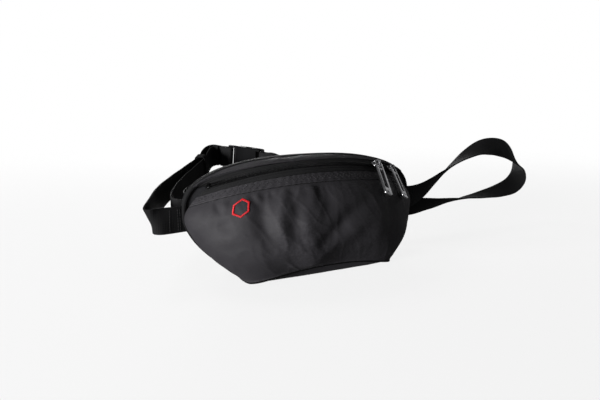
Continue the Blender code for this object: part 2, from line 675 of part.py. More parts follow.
def block(bm, low, high, bevel=0.0):
    """A box between two corners, its edges bevelled."""
    low, high = Vector(low), Vector(high)
    made = bmesh.ops.create_cube(bm, size=1.0)["verts"]
    for vert in made:
        vert.co = Vector([low[k] + (vert.co[k] + 0.5) * (high[k] - low[k]) for k in range(3)])
    if bevel:
        edges = list({edge for vert in made for edge in vert.link_edges})
        bmesh.ops.bevel(bm, geom=edges, offset=bevel, segments=2, profile=0.5, affect="EDGES")


def cut_boxes(obj, boxes):
    """Subtract boxes, given in the piece's own frame, one hidden cutter for each."""
    for number, (low, high) in enumerate(boxes):
        bm = bmesh.new()
        block(bm, low, high)
        tool = add_object(f"{obj.name}_cutter_{number}", bm, PLASTIC)
        tool.matrix_world = obj.matrix_world
        tool.hide_render = True
        tool.display_type = "WIRE"
        step = obj.modifiers.new(f"cut_{number}", "BOOLEAN")
        step.operation = "DIFFERENCE"
        step.solver = "EXACT"
        step.object = tool


def make_socket(matrix):
    """Socket half: a flat sleeve with release windows and a bar for the webbing."""
    half_h, half_d = SOCKET_HEIGHT / 2, SOCKET_DEPTH / 2
    end = SOCKET_LENGTH + BAR_LENGTH + SLOT_LENGTH
    bm = bmesh.new()
    block(bm, (0, -half_h, -half_d), (end, half_h, half_d), 1.4 * MM)
    socket = add_object("buckle_socket", bm, PLASTIC)
    socket.matrix_world = matrix
    hollow_h, hollow_d = half_h - SOCKET_WALL, half_d - SOCKET_WALL
    window = 9.8 * MM
    bar = SOCKET_LENGTH + SLOT_LENGTH
    cut_h, cut_d = half_h + MM, half_d + MM
    boxes = [
        ((-MM, -hollow_h, -hollow_d), (SOCKET_LENGTH - 2 * MM, hollow_h, hollow_d)),
        ((11 * MM, -cut_h, -hollow_d), (11 * MM + window, cut_h, hollow_d)),
        ((SOCKET_LENGTH, -SLOT_HALF, -cut_d), (bar, SLOT_HALF, cut_d)),
        ((bar - 0.1 * MM, -cut_h, BAR_HALF_DEPTH), (end + MM, cut_h, cut_d)),
        ((bar - 0.1 * MM, -cut_h, -cut_d), (end + MM, cut_h, -BAR_HALF_DEPTH)),
    ]
    cut_boxes(socket, boxes)


def make_tongue(matrix):
    """Tongue half: a bar and slot for the webbing and the guide that enters the socket."""
    half_h, half_d = TONGUE_HEIGHT / 2, TONGUE_DEPTH / 2
    back = -(BAR_LENGTH + SLOT_LENGTH + 5.0 * MM)
    bm = bmesh.new()
    block(bm, (back, -half_h, -half_d), (-RUNNING_GAP, half_h, half_d), 1.0 * MM)
    guide = PRONG_DEPTH / 2
    block(bm, (-1.5 * MM, -2.5 * MM, -guide), (PRONG_LENGTH * 0.8, 2.5 * MM, guide))
    tongue = add_object("buckle_tongue", bm, PLASTIC)
    tongue.matrix_world = matrix
    union_self(tongue)
    slot = back + BAR_LENGTH
    cut_h, cut_d = half_h + MM, half_d + MM
    boxes = [
        ((slot, -SLOT_HALF, -cut_d), (slot + SLOT_LENGTH, SLOT_HALF, cut_d)),
        ((back - MM, -cut_h, BAR_HALF_DEPTH), (slot + 0.1 * MM, cut_h, cut_d)),
        ((back - MM, -cut_h, -cut_d), (slot + 0.1 * MM, cut_h, -BAR_HALF_DEPTH)),
    ]
    cut_boxes(tongue, boxes)
    return back


def prong_root():
    """Distance of a prong's root from the buckle's middle line."""
    return SOCKET_HEIGHT / 2 - SOCKET_WALL - GAP - CATCH_REACH


def make_prong(name, side, matrix):
    """One sprung arm of the tongue, with the catch that shows in the socket's window."""
    root = side * prong_root()
    outline = [
        (0.0, -PRONG_HEIGHT / 2), (PRONG_LENGTH * 0.8, -PRONG_HEIGHT / 2 + 1.2 * MM),
        (PRONG_LENGTH, -0.6 * MM), (PRONG_LENGTH, 0.4 * MM),
        (18.2 * MM, CATCH_REACH), (12.0 * MM, CATCH_REACH),
        (11.6 * MM, PRONG_HEIGHT / 2 - 0.4 * MM), (0.0, PRONG_HEIGHT / 2),
    ]
    if side < 0:
        outline = [(a, -b) for a, b in reversed(outline)]
    bm = bmesh.new()
    place = lambda a, b, level: Vector((a, b, level))
    plate(bm, outline, -PRONG_DEPTH / 2, PRONG_DEPTH / 2, place)
    prong = add_object(name, bm, PLASTIC)
    prong.matrix_world = matrix @ Matrix.Translation((GAP - RUNNING_GAP + 0.3 * MM, root, 0))


def wrap_rows(bar_from, bar_to, direction, lead):
    """Route rows that take webbing to a bar, round it and back on itself, in mm."""
    middle = (bar_from + bar_to) / 2
    reach = (bar_to - bar_from) / 2 + BELT_THICK / 2 + WRAP_SLACK
    lift = BAR_HALF_DEPTH + BELT_THICK / 2 + WRAP_SLACK
    steps = [(-lead, 1.8 * MM), (-reach - 4 * MM, 3.2 * MM), (-reach * 0.5, lift)]
    steps += [(reach * math.sin(turn), lift * math.cos(turn))
              for turn in (0.35, 0.8, math.pi / 2, math.pi - 0.8, math.pi - 0.35)]
    steps += [(-reach * 0.5, -lift), (-reach - 4 * MM, -3.2 * MM), (-lead, -1.0 * MM)]
    up = buckle_place(0, 1, 0) - buckle_place(0, 0, 0)
    rows = []
    for along, out in steps:
        point = buckle_place(middle + direction * along, 0, out)
        rows.append((tuple(value / MM for value in point), tuple(up)))
    return rows


def make_belt(tongue_back):
    """Both belt straps, each wrapped round its buckle bar, and the coiled free tail."""
    left_wrap = wrap_rows(tongue_back, tongue_back + BAR_LENGTH, 1, 13.2 * MM)
    left = placed_route(LEFT_ROUTE, -1)
    ribbon("belt_left", left + left_wrap, BELT_WIDTH, BELT_THICK, WEBBING)
    bar = SOCKET_LENGTH + SLOT_LENGTH
    right_wrap = [(point, tuple(-value for value in lean))
                  for point, lean in wrap_rows(bar, bar + BAR_LENGTH, -1, 17 * MM)]
    right = placed_route(RIGHT_ROUTE, 1)
    ribbon("belt_right", right + right_wrap, BELT_WIDTH, BELT_THICK, WEBBING)
    ribbon("belt_tail", placed_route(TAIL_ROUTE, 0), BELT_WIDTH, BELT_THICK, WEBBING)


def make_keeper():
    """Elastic keeper that holds the tail against the belt beside the buckle."""
    tail_route = placed_route(TAIL_ROUTE, 0)
    belt = Vector(placed_route(LEFT_ROUTE, -1)[KEEPER_BELT_ROW][0])
    tail = Vector(tail_route[KEEPER_TAIL_ROW][0])
    centre = (belt + tail) / 2 * MM
    before = Vector(tail_route[KEEPER_TAIL_ROW - 1][0])
    after = Vector(tail_route[KEEPER_TAIL_ROW + 1][0])
    along = (before - after).normalized()
    up = Vector((0, 0, 1))
    up = (up - up.dot(along) * along).normalized()
    out = along.cross(up)
    spread = abs((belt - tail).dot(out)) * MM
    drop = abs((belt - tail).dot(up)) * MM
    half_out = spread / 2 + BELT_THICK / 2 + 1.6 * MM
    half_up = BELT_WIDTH / 2 + drop / 2 + 1.2 * MM
    bm = bmesh.new()
    rings = []
    for grow, shift in ((0, -1), (0, 1), (KEEPER_WALL, 1), (KEEPER_WALL, -1)):
        outline = rounded_rectangle(half_out + grow, half_up + grow, 2.0 * MM + grow)
        slide = shift * KEEPER_LENGTH / 2 * along
        rings.append([centre + slide + a * out + b * up for a, b in outline])
    ring_loft(bm, rings, closed=True)
    add_object("tail_keeper", bm, WEBBING)


def make_emblem():
    """A raised hexagon ring, embroidered on the left of the front."""
    step = 0.01
    at = wall(EMBLEM_UP, [EMBLEM_ALONG])[0]
    right = unit(wall(EMBLEM_UP, [EMBLEM_ALONG + step])[0] - at)
    up = wall(EMBLEM_UP + step, [EMBLEM_ALONG])[0] - at
    out = unit(np.cross(right, up))
    up = np.cross(out, right)
    along_rate = np.linalg.norm(wall(EMBLEM_UP, [EMBLEM_ALONG + step])[0] - at) / step
    up_rate = np.linalg.norm(wall(EMBLEM_UP + step, [EMBLEM_ALONG])[0] - at) / step
    bm = bmesh.new()
    sides = 6
    per_side = 3
    rings = []
    for corner in range(sides):
        for part in range(per_side):
            a0 = math.pi / 3 * corner + math.pi / 6
            a1 = a0 + math.pi / 3
            share = part / per_side
            ring = []
            for radius in (EMBLEM_RADIUS - EMBLEM_STROKE, EMBLEM_RADIUS):
                x = radius * (math.cos(a0) * (1 - share) + math.cos(a1) * share)
                y = radius * (math.sin(a0) * (1 - share) + math.sin(a1) * share)
                base = wall(EMBLEM_UP + y / up_rate, [EMBLEM_ALONG + x / along_rate])[0]
                ring.append((base, GAP))
                ring.append((base, GAP + EMBLEM_THICK))
            ring = [ring[0], ring[2], ring[3], ring[1]]
            rings.append([Vector(base + out * lift) for base, lift in ring])
    ring_loft(bm, rings, closed=True)
    add_object("emblem", bm, ((0.75, 0.03, 0.06), 0.5))


# ---------------------------------------------------------------- build
def main():
    """Build every sub-part of the pack."""
    clear_scene()
    make_back()
    make_front()
    make_facing()
    make_gusset()
    make_lining()
    make_top()
    make_tapes()
    make_coils()
    make_slider("slider_a", SLIDER_A_ANGLE)
    make_slider("slider_b", SLIDER_B_ANGLE)
    make_pull("pull_a", SLIDER_A_ANGLE, PULL_A_TILT)
    make_pull("pull_b", SLIDER_B_ANGLE, PULL_B_TILT)
    matrix = buckle_matrix()
    make_socket(matrix)
    tongue_back = make_tongue(matrix)
    make_prong("prong_upper", 1, matrix)
    make_prong("prong_lower", -1, matrix)
    make_belt(tongue_back)
    make_keeper()
    make_emblem()


main()
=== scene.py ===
# %% [markdown]
# # A small waist pack
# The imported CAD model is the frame: it says where every hard and soft piece is and how
# it moves.  This script dresses that frame.  Fabric becomes curved, creased cloth with
# seams, the zip gets teeth, the belt becomes ribbed webbing, and each finish is built
# from shader nodes, so no picture is used anywhere.
# %% Load the frame
import math

import bpy
import numpy as np
from mathutils import Matrix, Vector, noise


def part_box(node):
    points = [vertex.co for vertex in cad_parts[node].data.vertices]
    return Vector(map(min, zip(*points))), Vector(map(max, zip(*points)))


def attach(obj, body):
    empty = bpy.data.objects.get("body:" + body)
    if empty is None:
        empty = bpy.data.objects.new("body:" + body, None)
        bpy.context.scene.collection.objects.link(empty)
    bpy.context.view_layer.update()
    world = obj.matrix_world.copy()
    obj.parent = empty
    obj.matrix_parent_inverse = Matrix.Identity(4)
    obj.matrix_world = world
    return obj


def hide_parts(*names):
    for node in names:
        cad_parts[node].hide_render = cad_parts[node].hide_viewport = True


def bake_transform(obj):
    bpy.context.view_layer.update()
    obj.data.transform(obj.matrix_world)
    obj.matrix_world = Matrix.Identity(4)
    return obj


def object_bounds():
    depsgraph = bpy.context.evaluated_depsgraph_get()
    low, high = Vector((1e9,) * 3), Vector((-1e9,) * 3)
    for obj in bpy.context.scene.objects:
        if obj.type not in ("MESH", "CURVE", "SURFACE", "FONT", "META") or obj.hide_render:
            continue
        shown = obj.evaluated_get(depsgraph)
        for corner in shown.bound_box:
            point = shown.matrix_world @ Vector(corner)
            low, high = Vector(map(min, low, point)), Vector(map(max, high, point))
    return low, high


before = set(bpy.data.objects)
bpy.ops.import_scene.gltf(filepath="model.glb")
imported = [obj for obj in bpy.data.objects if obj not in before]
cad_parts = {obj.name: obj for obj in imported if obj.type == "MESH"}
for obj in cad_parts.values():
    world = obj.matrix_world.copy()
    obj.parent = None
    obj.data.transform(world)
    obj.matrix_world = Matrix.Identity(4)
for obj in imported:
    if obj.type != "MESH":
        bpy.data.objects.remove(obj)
cad_low, cad_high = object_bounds()
MM = 0.001
print("CAD box", [round(v, 4) for v in cad_low], [round(v, 4) for v in cad_high])

# %% [markdown]
# ## Camera, lights and world
# The camera stands a little to the left of the pack and slightly above it.  The key light
# is far off on the left and low, so it skims the front: one half of the rounded wall is
# bright and the other dark, which is what shows its shape and its folds.  A second strong
# light, low behind the pack, draws its top edge.  Three weak ones fill in from above, from
# the right and on the metal.  The camera sees a white world, which hardly lights anything.
# %% Camera
CAMERA_PLACE = Vector((-0.21968, -0.42907, 0.17213))
CAMERA_AIM = Vector((-0.0196, 0.0, 0.0715))
CAMERA_LENS = 30.18


def aimed(obj, target):
    """Turn a camera or light to face a point."""
    obj.rotation_euler = (Vector(target) - obj.location).to_track_quat("-Z", "Y").to_euler()


bpy.ops.object.camera_add(location=CAMERA_PLACE)
camera = bpy.context.active_object
camera.data.lens = CAMERA_LENS
camera.data.sensor_width = 36.0
camera.data.clip_start = 0.01
aimed(camera, CAMERA_AIM)
bpy.context.scene.camera = camera
print("camera is", round((CAMERA_PLACE - CAMERA_AIM).length, 3), "m from what it looks at")

# %% Lights and the world around them
LIGHTS = (
    # name, place, aim, size, watts
    ("key_light", (-1.50, -0.49, 0.18), (-0.05, 0.0, 0.05), 0.40, 41.0),
    ("top_light", (-0.30, 0.80, 1.05), (0.0, 0.0, 0.08), 0.4, 4.0),
    ("side_light", (1.25, -0.75, 0.30), (0.05, 0.0, 0.06), 0.5, 1.1),
    ("metal_light", (1.23, 0.45, 0.42), (0.1, -0.05, 0.08), 0.6, 0.9),
    ("back_light", (0.35, 1.55, 0.13), (0.0, 0.02, 0.04), 0.6, 26.0),
)
for name, place, aim, size, watts in LIGHTS:
    bpy.ops.object.light_add(type="AREA", location=place)
    light = bpy.context.active_object
    light.name = name
    light.data.size = size
    light.data.energy = watts
    aimed(light, aim)
    print(name, "shines", watts, "W from", place)

world = bpy.data.worlds.new("soft_white_room")
bpy.context.scene.world = world
world.use_nodes = True
backdrop = world.node_tree.nodes["Background"]
backdrop.inputs["Color"].default_value = (1.0, 1.0, 1.0, 1.0)
seen = world.node_tree.nodes.new("ShaderNodeLightPath")
ramp = world.node_tree.nodes.new("ShaderNodeMapRange")
ramp.inputs["To Min"].default_value = 0.06     # what lights the pack
ramp.inputs["To Max"].default_value = 1.0      # what is seen behind it
world.node_tree.links.new(seen.outputs["Is Camera Ray"], ramp.inputs["Value"])
world.node_tree.links.new(ramp.outputs["Result"], backdrop.inputs["Strength"])
bpy.context.scene.view_settings.view_transform = "Standard"

# %% [markdown]
# ## Writing shader maths as Python
# A woven pattern is a formula, so it is clearer written as one.  `Wire` stands for one
# socket and turns `a * b + c` into Math nodes.  `Look` is one material being built.
# %% Shader helpers


def shade(tint, amount):
    """A colour made lighter or darker."""
    return tuple(min(1.0, value * amount) for value in tint)


class Wire:
    """One output socket of a material that Python's operators work on."""

    def __init__(self, look, socket):
        self.look = look
        self.socket = socket

    def maths(self, operation, other=None):
        return self.look.node("ShaderNodeMath", {0: self, 1: other}, operation=operation)

    def __add__(self, other):
        return self.maths("ADD", other)

    __radd__ = __add__

    def __mul__(self, other):
        return self.maths("MULTIPLY", other)

    __rmul__ = __mul__

    def __sub__(self, other):
        return self.maths("SUBTRACT", other)

    def __rsub__(self, other):
        return self.look.node("ShaderNodeMath", {0: other, 1: self}, operation="SUBTRACT")

    def __pow__(self, other):
        return self.maths("POWER", other)

    def __abs__(self):
        return self.maths("ABSOLUTE")

    def sin(self):
        return self.maths("SINE")

    def between(self, low, high):
        """0 at low, 1 at high, and held there beyond them."""
        ramp = {0: self, 1: low, 2: high, 3: 0.0, 4: 1.0}
        return self.look.node("ShaderNodeMapRange", ramp, interpolation_type="SMOOTHSTEP")


class Look:
    """A Principled material whose patterns are written in Python."""

    def __init__(self, name, **sockets):
        self.material = bpy.data.materials.new(name)
        self.material.use_nodes = True
        self.tree = self.material.node_tree
        self.shader = self.tree.nodes["Principled BSDF"]
        for socket, value in sockets.items():
            self.set(socket.replace("_", " "), value)

    def feed(self, socket, value):
        """Link a wire to a socket, or set the socket's own number, colour or vector."""
        if isinstance(value, Wire):
            self.tree.links.new(value.socket, socket)
        elif value is not None:
            opaque = socket.type == "RGBA" and len(value) == 3
            socket.default_value = (*value, 1.0) if opaque else value

    def set(self, socket, value):
        """Give one socket of the shader a value or a wire."""
        self.feed(self.shader.inputs[socket], value)

    def node(self, kind, inputs=None, out=0, **settings):
        """Add any node: its settings first, then what goes into its sockets."""
        made = self.tree.nodes.new(kind)
        for key, value in settings.items():
            setattr(made, key, value)
        for key, value in (inputs or {}).items():
            self.feed(made.inputs[key], value)
        return Wire(self, made.outputs[out])

    def place(self, out="Object"):
        """Texture coordinates: Object, in metres, or the piece's own UV, also in metres."""
        return self.node("ShaderNodeTexCoord", out=out)

    def parts(self, vector):
        """The X, Y and Z of a vector."""
        split = self.tree.nodes.new("ShaderNodeSeparateXYZ")
        self.feed(split.inputs[0], vector)
        return [Wire(self, split.outputs[k]) for k in range(3)]

    def grain(self, scale, detail=2.0, vector=None):
        """Cloudy noise from 0 to 1; scale is in blotches for each metre."""
        inputs = {"Vector": vector or self.place(), "Scale": scale, "Detail": detail}
        return self.node("ShaderNodeTexNoise", inputs)

    def mix(self, share, first, second):
        """Blend two colours."""
        inputs = {0: share, 6: first, 7: second}
        return self.node("ShaderNodeMix", inputs, out=2, data_type="RGBA")

    def cloudy(self, tint, scale, dark, light, detail=3.0):
        """A tint that drifts in clouds between a darker and a lighter shade of itself."""
        cloud = self.grain(scale, detail).between(0.3, 0.7)
        return self.mix(cloud, shade(tint, dark), shade(tint, light))

    def value(self, attribute):
        """A number kept on the piece's points."""
        return self.node("ShaderNodeAttribute", out="Fac", attribute_name=attribute)

    def bump(self, height, depth, strength=1.0, under=None):
        """Turn a height from 0 to 1 into a normal; depth is in metres."""
        inputs = {"Height": height, "Distance": depth, "Strength": strength, "Normal": under}
        return self.node("ShaderNodeBump", inputs)


# %% [markdown]
# ## Fabrics
# The shell is a tight, coated plain weave: warp and weft threads half a millimetre apart
# pass over and under each other, and a thin coating makes it slightly shiny.  A point
# attribute called `wear` marks the ridges and seam edges, which rub paler.
# %% Woven fabric
THREAD_PITCH = 0.55 * MM
LINING_PITCH = 0.4 * MM
SOFT_SHEEN = {"Sheen_Weight": 0.02, "Sheen_Roughness": 0.4}


def weave_height(look, pitch):
    """Height of a plain weave over the piece's UV, 0 between threads and 1 on them."""
    across, along, _ = look.parts(look.place("UV"))
    warp = (across * (math.pi / pitch)).sin()
    weft = (along * (math.pi / pitch)).sin()
    over = (warp * weft).between(-0.35, 0.35)
    return abs(warp) * over + abs(weft) * (1.0 - over)


def woven(name, tint, pitch, roughness, depth, wear=True):
    """A plain-woven cloth with cloudy colour, worn ridges, painted shade between its threads and a
    bump for its threads.
    """
    look = Look(name, Roughness=roughness, Specular_IOR_Level=0.14, **SOFT_SHEEN)
    threads = weave_height(look, pitch)
    # Painted shade and highlight: each thread's crown is painted lighter and the gaps between threads
    # darker, by the weave's height.
    colour = look.mix(threads * 0.35, look.cloudy(tint, 38.0, 0.86, 1.14), shade(tint, 1.5))
    if wear:
        rubbed = look.value("wear") * look.grain(420.0, 4.0).between(0.35, 0.75)
        colour = look.mix(rubbed * 0.5, colour, shade(tint, 2.6))
    look.set("Base Color", colour)
    look.set("Roughness", look.grain(60.0) * 0.12 + (roughness - 0.06))
    fine = look.bump(look.grain(900.0, 3.0), 0.04 * MM, 0.35)
    look.set("Normal", look.bump(threads, depth, 0.55, fine))
    return look.material


FACE_FABRIC = woven("face_fabric", (0.0265, 0.0252, 0.0282), THREAD_PITCH, 0.54, 0.10 * MM)
LINING_FABRIC = woven("lining_fabric", (0.03, 0.03, 0.033), LINING_PITCH, 0.7, 0.06 * MM, wear=False)

# %% Webbing, elastic, binding and zip tape


def ribbed(name, tint, pitch, columns, roughness, depth):
    """A heavy ribbed band: ribs lie across it, columns of stitches run along it, and its crests are
    painted lighter than its grooves, as painted shade.
    """
    look = Look(name, Roughness=roughness, Specular_IOR_Level=0.06, **SOFT_SHEEN)
    across, along, _ = look.parts(look.place("UV"))
    rows = abs((across * (math.pi / columns)).sin())
    lean = rows * (0.35 * pitch)
    ribs = abs(((along + lean) * (math.pi / pitch)).sin())
    height = ribs * 0.75 + rows * 0.25
    # Painted shade and highlight: rib crests are painted lighter and the grooves between them darker,
    # by the band's height.
    colour = look.mix(height * 0.5, look.cloudy(tint, 30.0, 0.8, 1.2), shade(tint, 1.9))
    fuzz = look.grain(1500.0, 4.0).between(0.62, 0.8)
    look.set("Base Color", look.mix(fuzz * 0.25, colour, shade(tint, 4.0)))
    fine = look.bump(look.grain(1400.0), 0.04 * MM, 0.4)
    look.set("Normal", look.bump(height, depth, 0.8, fine))
    return look.material


WEBBING = ribbed("webbing", (0.010, 0.010, 0.0105), 1.5 * MM, 2.1 * MM, 0.72, 0.32 * MM)
ELASTIC = ribbed("elastic", (0.008, 0.008, 0.0085), 1.1 * MM, 0.9 * MM, 0.8, 0.25 * MM)
ZIP_TAPE = ribbed("zip_tape", (0.012, 0.012, 0.0125), 0.6 * MM, 1.6 * MM, 0.62, 0.14 * MM)
BINDING = ribbed("binding", (0.009, 0.009, 0.0095), 0.8 * MM, 0.8 * MM, 0.78, 0.12 * MM)
PIPING = ribbed("piping", (0.003, 0.003, 0.003), 0.8 * MM, 0.8 * MM, 0.85, 0.08 * MM)

# %% Spacer mesh: a knitted face with rows of small hexagonal holes
MESH_PITCH = 2.6 * MM
MESH_TINT = (0.026, 0.026, 0.028)
# Painted shade: the holes are coloured near-black for the shade inside the knit.
HOLE_PAINTED_SHADE = (0.002, 0.002, 0.002)


def spacer_mesh():
    """Three waves at 60 degrees to each other, whose crests meet in the holes."""
    look = Look("spacer_mesh", Roughness=0.85, Specular_IOR_Level=0.2,
                Sheen_Weight=0.05, Sheen_Roughness=0.5)
    x, _, z = look.parts(look.place())
    turn = 2 * math.pi / MESH_PITCH
    half, tall = 0.5 * turn, 0.866 * turn
    waves = (x * turn, x * half + z * tall, x * half - z * tall)
    first, second, third = ((wave + math.pi / 2).sin() for wave in waves)
    hole = (first + second + third).between(0.6, 1.9)
    # The holes take the near-black painted shade; the rest of the face keeps its cloudy tint.
    look.set("Base Color", look.mix(hole, look.cloudy(MESH_TINT, 45.0, 0.8, 1.3), HOLE_PAINTED_SHADE))
    fine = look.bump(look.grain(1600.0, 3.0), 0.08 * MM, 0.5)
    look.set("Normal", look.bump(1.0 - hole, 0.7 * MM, 0.8, fine))
    return look.material


SPACER_MESH = spacer_mesh()

# %% [markdown]
# ## Thread, metal and plastic
# Sewing thread and the embroidery are twisted fibre, so a fine grain breaks up their
# colour and their surface.  The zip's sliders are plated a dark, shiny grey with faint
# scratches.  The buckle is moulded plastic with a fine spark-eroded grain.
# %% Thread


def thread(name, tint, roughness, twist):
    """Twisted fibre; twist is how fine its grain is, in blotches for each metre."""
    look = Look(name, Roughness=roughness, Specular_IOR_Level=0.35,
                Sheen_Weight=0.05, Sheen_Roughness=0.35)
    fibre = look.grain(twist)
    colour = look.cloudy(tint, 150.0, 0.82, 1.15, detail=2.0)
    look.set("Base Color", look.mix(fibre.between(0.35, 0.65) * 0.5, colour, shade(tint, 0.6)))
    look.set("Normal", look.bump(fibre, 0.06 * MM, 0.6))
    return look.material


DARK_THREAD = thread("dark_thread", (0.018, 0.018, 0.019), 0.5, 2600.0)
PALE_THREAD = thread("pale_thread", (0.034, 0.033, 0.036), 0.5, 2600.0)
RED_THREAD = thread("red_thread", (0.62, 0.012, 0.020), 0.42, 1900.0)

# %% Metal and moulded plastic
SCRATCH_SCALE = (900.0, 900.0, 5200.0)    # for each metre


def plated(name, tint, roughness):
    """Plated metal with fine upright scratches and worn, paler patches."""
    look = Look(name, Metallic=1.0, Roughness=roughness)
    streaks = look.node("ShaderNodeMapping", {"Vector": look.place(), "Scale": SCRATCH_SCALE})
    scratch = look.grain(1.0, 3.0, streaks)
    worn = look.grain(260.0, 3.0)
    look.set("Base Color", look.mix(worn.between(0.55, 0.8), tint, shade(tint, 1.7)))
    look.set("Roughness", scratch * 0.16 + (roughness - 0.06))
    look.set("Normal", look.bump(scratch, 0.01 * MM, 0.3))
    return look.material


def moulded(name, tint, roughness, shine=0.14):
    """Moulded plastic with a fine spark-eroded grain."""
    look = Look(name, Roughness=roughness, Specular_IOR_Level=shine)
    grain = look.grain(2300.0)
    look.set("Base Color", look.cloudy(tint, 70.0, 0.85, 1.25))
    look.set("Roughness", grain * 0.14 + (roughness - 0.07))
    look.set("Normal", look.bump(grain, 0.035 * MM, 0.45))
    return look.material


GUNMETAL = plated("gunmetal", (0.34, 0.34, 0.35), 0.3)
DARK_METAL = plated("dark_metal", (0.05, 0.05, 0.052), 0.34)
NYLON = moulded("nylon_coil", (0.008, 0.008, 0.0085), 0.4)
BUCKLE_PLASTIC = moulded("buckle_plastic", (0.004, 0.004, 0.0045), 0.55, shine=0.03)
print("finishes:", ", ".join(material.name for material in bpy.data.materials))

# %% [markdown]
# ## The floor
# A plain pale sheet of paper, with a trace of tooth so that it isn't perfectly even.  It
# fades into the white room far from the pack, so that no horizon is seen.
# %% Floor
FLOOR_HALF = 1.6
FLOOR_DROP = 0.05 * MM     # below the pack, so that the two don't share a face
FLOOR_ALPHA = 0.16
FADE_FROM, FADE_TO = 0.4, 1.3


def paper():
    look = Look("paper", Roughness=0.9, Specular_IOR_Level=0.1)
    look.set("Base Color", look.mix(look.grain(6.0), (0.88, 0.88, 0.88), (0.91, 0.91, 0.91)))
    x, y, _ = look.parts(look.place())
    away = (x * x + y * y) ** 0.5
    look.set("Alpha", FLOOR_ALPHA - away.between(FADE_FROM, FADE_TO) * FLOOR_ALPHA)
    look.set("Normal", look.bump(look.grain(700.0, 3.0), 0.1 * MM, 0.1))
    return look.material


bpy.ops.mesh.primitive_plane_add(size=2 * FLOOR_HALF, location=(0, 0, cad_low.z - FLOOR_DROP))
floor = bpy.context.active_object
floor.name = "floor"
floor.data.materials.append(paper())

# %% [markdown]
# ## The lines that the pack is sewn along
# The front wall is a surface through five level lines, from the seam at the bottom up to
# the zip.  The zip is one arc in a tilted plane.  Every fabric piece is laid on these
# lines, so neighbours meet exactly where the CAD pieces do.
# %% The zip's arc and the wall's level lines
BACK_FACE_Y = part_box("back_mesh")[1].y
SEAM_Y = BACK_FACE_Y - 9.4 * MM
TIP_HALF_WIDTH = 126.0 * MM
TIP_HEIGHT = 62.0 * MM
ARCH_RISE = 49.0 * MM
ARCH_POWER = 2.5
BASE_HALF_WIDTH = 80.0 * MM
GUSSET_RISE = 11.0 * MM

ZIP_TILT = math.radians(34.0)
ZIP_ROLL = math.radians(22.0)
ZIP_TOP_Y = -6.0 * MM
ZIP_TOP_Z = TIP_HEIGHT + ARCH_RISE - 4.7 * MM
ZIP_HALF_CHORD = TIP_HALF_WIDTH - 18.7 * MM
ZIP_RISE = (SEAM_Y - 0.45 * MM - ZIP_TOP_Y) / math.cos(ZIP_TILT)
ZIP_RADIUS = (ZIP_HALF_CHORD ** 2 + ZIP_RISE ** 2) / (2 * ZIP_RISE)
ZIP_HALF_ANGLE = math.asin(ZIP_HALF_CHORD / ZIP_RADIUS)
TAPE_REACH = 0.985      # share of the arc that the tapes and the top panel cover
CHAIN_REACH = 0.975     # and the teeth
CHAIN_HALF_ANGLE = CHAIN_REACH * ZIP_HALF_ANGLE
COIL_WIDTH = 2.5 * MM
TAPE_WIDTH = 6.6 * MM
FACING_WIDTH = 11.0 * MM

ALONG_X = np.array((1.0, 0.0, 0.0))
ZIP_UP = np.array((0.0, -math.cos(ZIP_TILT), math.sin(ZIP_TILT)))
ZIP_NORMAL = np.array((0.0, math.sin(ZIP_TILT), math.cos(ZIP_TILT)))
ZIP_CENTRE = np.array((0.0, ZIP_TOP_Y, ZIP_TOP_Z)) - ZIP_RADIUS * ZIP_UP

LEVELS = (
    # half width, end height, middle y, middle height, squareness in x and in y
    (BASE_HALF_WIDTH, 0.0, -24 * MM, GUSSET_RISE, 0.33, 0.33),
    (TIP_HALF_WIDTH - 22 * MM, 20 * MM, -35 * MM, 33 * MM, 0.65, 0.70),
    (TIP_HALF_WIDTH - 7 * MM, TIP_HEIGHT - 23 * MM, -38 * MM, ZIP_TOP_Z - 49.3 * MM, 0.90, 1.00),
    (TIP_HALF_WIDTH - 0.5 * MM, TIP_HEIGHT - 1 * MM, -29 * MM, ZIP_TOP_Z - 23.3 * MM, 1.00, 1.30),
)


def share_of(u, reach=1.0):
    """A share of the wall's or the zip's length, -1 at the left and 1 at the right end."""
    return (2 * np.clip(u, 0, 1) - 1) * reach


def zip_frame(angle):
    """Chain's middle, its direction, the way up over the pack, and outwards, per angle."""
    angle = np.atleast_1d(angle)[:, None]
    along = np.cos(angle) * ALONG_X - np.sin(angle) * ZIP_UP
    radial = np.sin(angle) * ALONG_X + np.cos(angle) * ZIP_UP
    outward = math.cos(ZIP_ROLL) * radial + math.sin(ZIP_ROLL) * ZIP_NORMAL
    across = math.cos(ZIP_ROLL) * ZIP_NORMAL - math.sin(ZIP_ROLL) * radial
    return ZIP_CENTRE + ZIP_RADIUS * radial, along, across, outward


def level_line(half_width, end_height, middle_y, middle_height, square_x, square_y):
    """One level line of the wall, from the left end round the front to the right end."""
    turn = np.linspace(-math.pi / 2, math.pi / 2, 481)
    share = np.sign(turn) * np.abs(np.sin(turn)) ** square_x
    y = SEAM_Y - (SEAM_Y - middle_y) * np.abs(np.cos(turn)) ** square_y
    z = end_height + (middle_height - end_height) * (1 - np.abs(share) ** 2.2)
    return np.stack([half_width * share, y, z], axis=-1)


def run_along(points):
    """How far along a line each of its points lies."""
    steps = np.linalg.norm(np.diff(points, axis=0), axis=1)
    return np.concatenate([[0.0], np.cumsum(steps)])


def read_line(points, run, at):
    """Points of a line at any places along its run."""
    return np.stack([np.interp(at, run, column) for column in points.T], axis=-1)


def read_along(points, share):
    """Points at shares, from -1 to 1, of a line's length."""
    run = run_along(points)
    return read_line(points, run, (share + 1) / 2 * run[-1])


